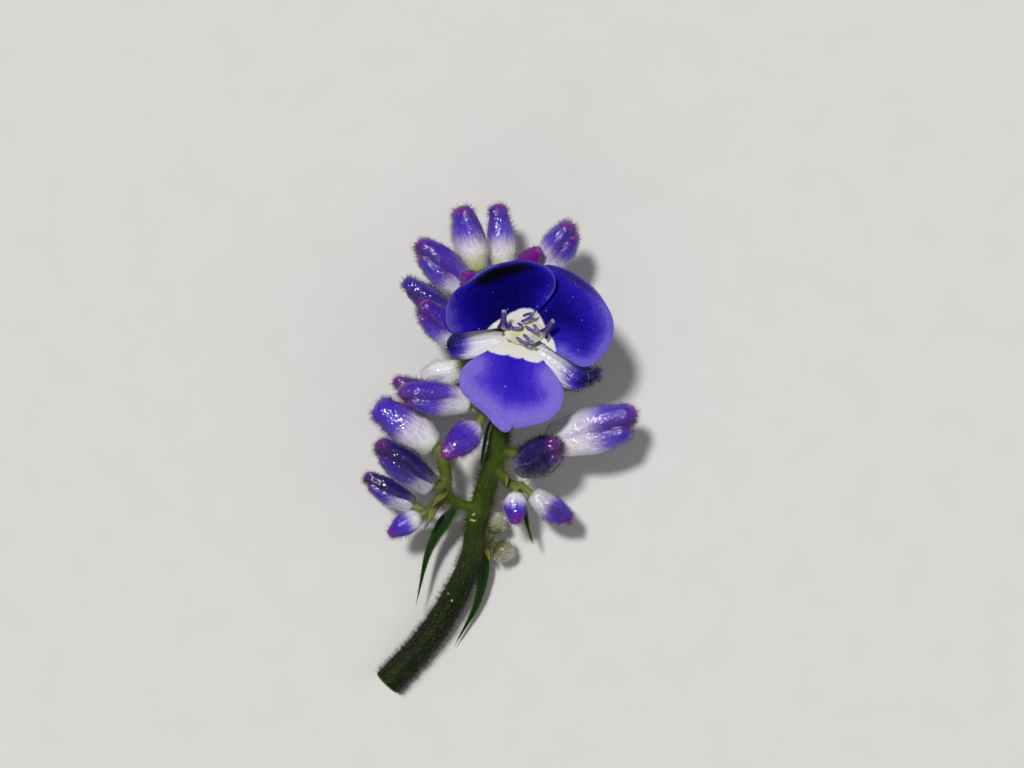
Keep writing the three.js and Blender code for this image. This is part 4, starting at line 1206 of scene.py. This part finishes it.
def petal_look():
    look = Look("petal", Specular_IOR_Level=0.05, Subsurface_Weight=0.05,
                Subsurface_Scale=0.3 * MM)
    streaks = look.grain((2.2, 0.35), 4.0, 0.6)
    cells = look.grain((6.5, 5.5), 2.0, 0.7)
    cloud = look.grain((0.25, 0.3), 2.0)
    pale = look.add_noise(look.add_noise(look.share("pale"), streaks, 0.3), cloud, 0.2)
    light = look.ramp(pale, [(0.0, 38, 13, 176), (0.3, 60, 36, 189), (0.5, 92, 70, 201),
                             (0.67, 114, 94, 205), (0.9, 120, 103, 203), (1.0, 106, 90, 190)])
    # Darker blues for the petals with painted shade, light blues for the lower one
    dark = look.ramp(pale, [(0.0, 4, 0, 78), (0.25, 7, 1, 114), (0.45, 18, 6, 142),
                            (0.67, 34, 18, 164), (0.87, 70, 54, 184), (1.0, 100, 88, 196)])
    blue = look.mix(look.share("deep"), light, dark)
    # Painted shadow under the curled lip
    blue = look.tint(blue, (2, 0, 14), look.share("dusk"))
    # Painted highlight on the lip
    blue = look.tint(blue, (104, 98, 186), look.share("rim"))
    # Light specks on the pale margins: the velvety grain with painted sparkle on it
    speckle = look.math("MULTIPLY", look.between(cells, 0.5, 0.72), look.math("POWER", pale, 2.0))
    strength = look.math("MULTIPLY_ADD", look.share("deep"), -0.55, 0.85)
    blue = look.tint(blue, (172, 160, 230), look.math("MULTIPLY", speckle, strength))
    dust = look.between(look.noise(look.position(), 2.2, 1.0), 0.77, 0.8)
    toothed = look.math("MULTIPLY", look.grain((2.4, 1.6), 3.0), 0.6)
    edge = look.math("ADD", look.share("beyond"), toothed)
    white = look.mix(look.share("middle"), rgb(224, 223, 220), rgb(222, 219, 204))
    colour = look.mix(look.between(edge, 0.1, 0.5), white, blue)
    colour = look.tint(colour, (196, 186, 236), dust)
    return look.finish(colour, 0.6, look.bump(streaks, 0.05, look.bump(cells, 0.03)))


def sepal_look():
    look = Look("sepal", Specular_IOR_Level=0.45, Subsurface_Weight=0.05,
                Subsurface_Scale=0.4 * MM)
    streaks = look.grain((3.4, 0.3), 4.0, 0.6)
    colour = look.ramp(look.add_noise(look.share("tone"), streaks, 0.24), [
        (0.0, 208, 206, 196), (0.2, 230, 229, 229), (0.54, 220, 216, 226), (0.62, 180, 172, 208),
        (0.71, 98, 80, 180), (0.8, 54, 34, 162), (0.9, 28, 14, 112), (1.0, 14, 8, 72),
    ])
    # Painted shadow on the side of the sepal that a petal shades, fading towards the tip
    grey = look.math("MULTIPLY", look.share("grey"), look.between(look.share("tone"), 0.95, 0.5))
    colour = look.tint(colour, (104, 100, 108), grey, 0.55)
    colour = look.tint(colour, (40, 30, 92), look.between(look.share("edge"), 0.8, 1.0), 0.5)
    lumps = look.grain((3.0, 1.6), 1.0)
    return look.finish(colour, 0.26, look.bump(streaks, 0.05, look.bump(lumps, 0.08)))


def stem_look():
    look = Look("stem", Specular_IOR_Level=0.12)
    where = look.position()
    cloud = look.noise(where, 0.45, 3.0)
    specks = look.noise(where, 5.5, 2.0, 0.7)
    lines = look.grain((2.6, 2.6, 0.3), 3.0)
    green = look.ramp(look.add_noise(look.share("kind"), cloud, 0.3), [
        (0.0, 38, 60, 6), (0.3, 54, 78, 12), (0.6, 84, 98, 28), (1.0, 134, 142, 74),
    ])
    # Painted shade on the lower stem
    green = look.tint(green, (12, 20, 3), look.share("low"), 0.9)
    green = look.tint(green, (58, 72, 20), look.between(lines, 0.5, 0.72), 0.25)
    green = look.tint(green, (146, 158, 70), look.between(specks, 0.59, 0.68), 0.6)
    green = look.tint(green, (112, 84, 60), look.share("brown"), 0.6)
    green = look.tint(green, (206, 196, 150), look.between(look.share("scar"), 0.4, 0.7))
    cut = look.ramp(look.between(look.share("core"), 1.2, 2.6), [
        (0.0, 206, 214, 170), (0.6, 168, 186, 112), (0.8, 110, 138, 60), (1.0, 150, 160, 96),
    ])
    colour = look.mix(look.share("cut"), green, cut)
    normal = look.bump(specks, 0.1, look.bump(lines, 0.06))
    return look.finish(colour, look.math("ADD", look.math("MULTIPLY", specks, 0.3), 0.2), normal)


def bract_look():
    look = Look("bract", Specular_IOR_Level=0.2)
    veins = look.grain((5.0, 0.25), 2.0)
    blotch = look.grain((1.2, 0.5), 3.0)
    colour = look.ramp(look.add_noise(look.share("edge"), veins, 0.5), [
        (0.0, 8, 40, 3), (0.6, 14, 50, 5), (0.88, 28, 64, 12), (1.0, 104, 126, 70),
    ])
    colour = look.tint(colour, (34, 66, 18), look.between(blotch, 0.45, 0.75), 0.35)
    colour = look.tint(colour, (176, 170, 120), look.between(look.share("tone"), 0.93, 1.0))
    return look.finish(colour, 0.4, look.bump(veins, 0.1))


def bracteole_look():
    look = Look("bracteole", Specular_IOR_Level=0.3)
    veins = look.grain((4.0, 0.5), 3.0)
    colour = look.ramp(look.add_noise(look.share("edge"), veins, 0.3), [
        (0.0, 112, 124, 48), (0.7, 132, 138, 62), (0.9, 120, 88, 48), (1.0, 92, 42, 30),
    ])
    return look.finish(colour, 0.42, look.bump(veins, 0.1))


def ovary_look():
    look = Look("ovary", Specular_IOR_Level=0.2, Subsurface_Weight=0.1, Subsurface_Scale=0.4 * MM)
    colour = look.tint(rgb(228, 223, 202), (214, 206, 112), look.share("yellow"), 0.75)
    colour = look.tint(colour, (196, 164, 172), look.share("near"), 0.4)
    colour = look.tint(colour, (206, 132, 104), look.share("stain"))
    return look.finish(colour, 0.4, look.bump(look.noise(look.position(), 1.2, 2.0), 0.15))


def anther_look():
    look = Look("anther", Coat_Weight=0.4, Coat_Roughness=0.22)
    mottle = look.noise(look.position(), 3.0, 3.0)
    colour = look.ramp(look.add_noise(look.share("between"), mottle, 0.3), [
        (0.0, 26, 14, 78), (0.5, 62, 34, 134), (1.0, 84, 74, 132),
    ])
    # Pale blue-grey at the apex and join: own colour with a painted highlight
    colour = look.tint(colour, (140, 150, 184), look.share("tip"))
    colour = look.tint(colour, (186, 152, 156), look.share("pink"))
    return look.finish(colour, 0.38, look.bump(mottle, 0.06))


def floor_look():
    look = Look("floor")
    grain = look.noise(look.position(), 0.12, 3.0)
    return look.finish(look.ramp(grain, [(0.0, 214, 212, 208), (1.0, 222, 220, 217)]), 0.85)


LOOKS = {
    "bud": bud_look("bud", 1.0, [
        (0.0, 132, 144, 78), (0.12, 206, 210, 144), (0.26, 247, 245, 241), (0.38, 184, 170, 218),
        (0.5, 98, 72, 194), (0.62, 66, 34, 182), (0.76, 64, 18, 164), (0.88, 98, 16, 146),
        (1.0, 132, 28, 130),
    ]),
    "young": bud_look("young_bud", 0.25, [
        (0.0, 80, 88, 40), (0.4, 108, 112, 70), (0.75, 150, 152, 124), (1.0, 186, 184, 162),
    ]),
    "hair": hair_look("hair", (190, 166, 150), [
        (0.0, 126, 130, 78), (0.28, 236, 230, 222), (0.4, 164, 150, 192), (0.5, 92, 70, 172),
        (0.75, 60, 24, 140), (1.0, 104, 22, 100),
    ]),
    "green_hair": hair_look("green_hair", (172, 168, 112), [(0.0, 34, 46, 8), (1.0, 116, 122, 64)]),
    "petal": petal_look(), "sepal": sepal_look(),
    "stem": stem_look(), "bract": bract_look(), "bracteole": bracteole_look(),
    "ovary": ovary_look(), "anther": anther_look(),
}


# Camera, light and floor

CAMERA = (2.0, 11.5, 418.0)  # straight above the head, as the photograph faces it
LENS, SENSOR = 84.375, 36.0
FLOOR_SIZE = 4000.0
SKY, SKY_STRENGTH = (0.95, 0.97, 1.0, 1.0), 0.17
SUNS = {  # direction that the light comes from, angle in degrees that makes it soft and strength
    "key": ((-0.2, 0.26, 1.0), 6, 2.4),
    "fill_right": ((0.9, 0.1, 0.7), 50, 0.25),
    "fill_low": ((-0.3, -1.0, 0.7), 50, 0.25),
}


def make_studio():
    camera = bpy.data.cameras.new("camera")
    camera.lens = LENS
    camera.sensor_width = SENSOR
    camera.clip_start = 0.01
    bpy.context.scene.camera = link("camera", camera)
    bpy.context.scene.camera.location = [c * MM for c in CAMERA]
    for name, ((x, y, z), angle, strength) in SUNS.items():
        sun = bpy.data.lights.new(name, "SUN")
        sun.angle = math.radians(angle)
        sun.energy = strength
        turned = (0.0, math.atan2(math.hypot(x, y), z), math.atan2(y, x))
        link(name, sun).rotation_euler = turned
    bpy.context.scene.view_settings.view_transform = "Standard"
    world = bpy.data.worlds.new("studio")
    bpy.context.scene.world = world
    world.use_nodes = True
    background = world.node_tree.nodes["Background"]
    background.inputs["Color"].default_value = SKY
    background.inputs["Strength"].default_value = SKY_STRENGTH
    half = FLOOR_SIZE / 2 * MM
    mesh = bpy.data.meshes.new("floor")
    corners = [(-half, -half, 0), (half, -half, 0), (half, half, 0), (-half, half, 0)]
    mesh.from_pydata(corners, [], [(0, 1, 2, 3)])
    mesh.materials.append(floor_look())
    link("floor", mesh)


make_studio()
make_stem()
make_buds()
make_bracts()
make_flower_sepals()
make_petals()
make_ovary()
make_anthers()
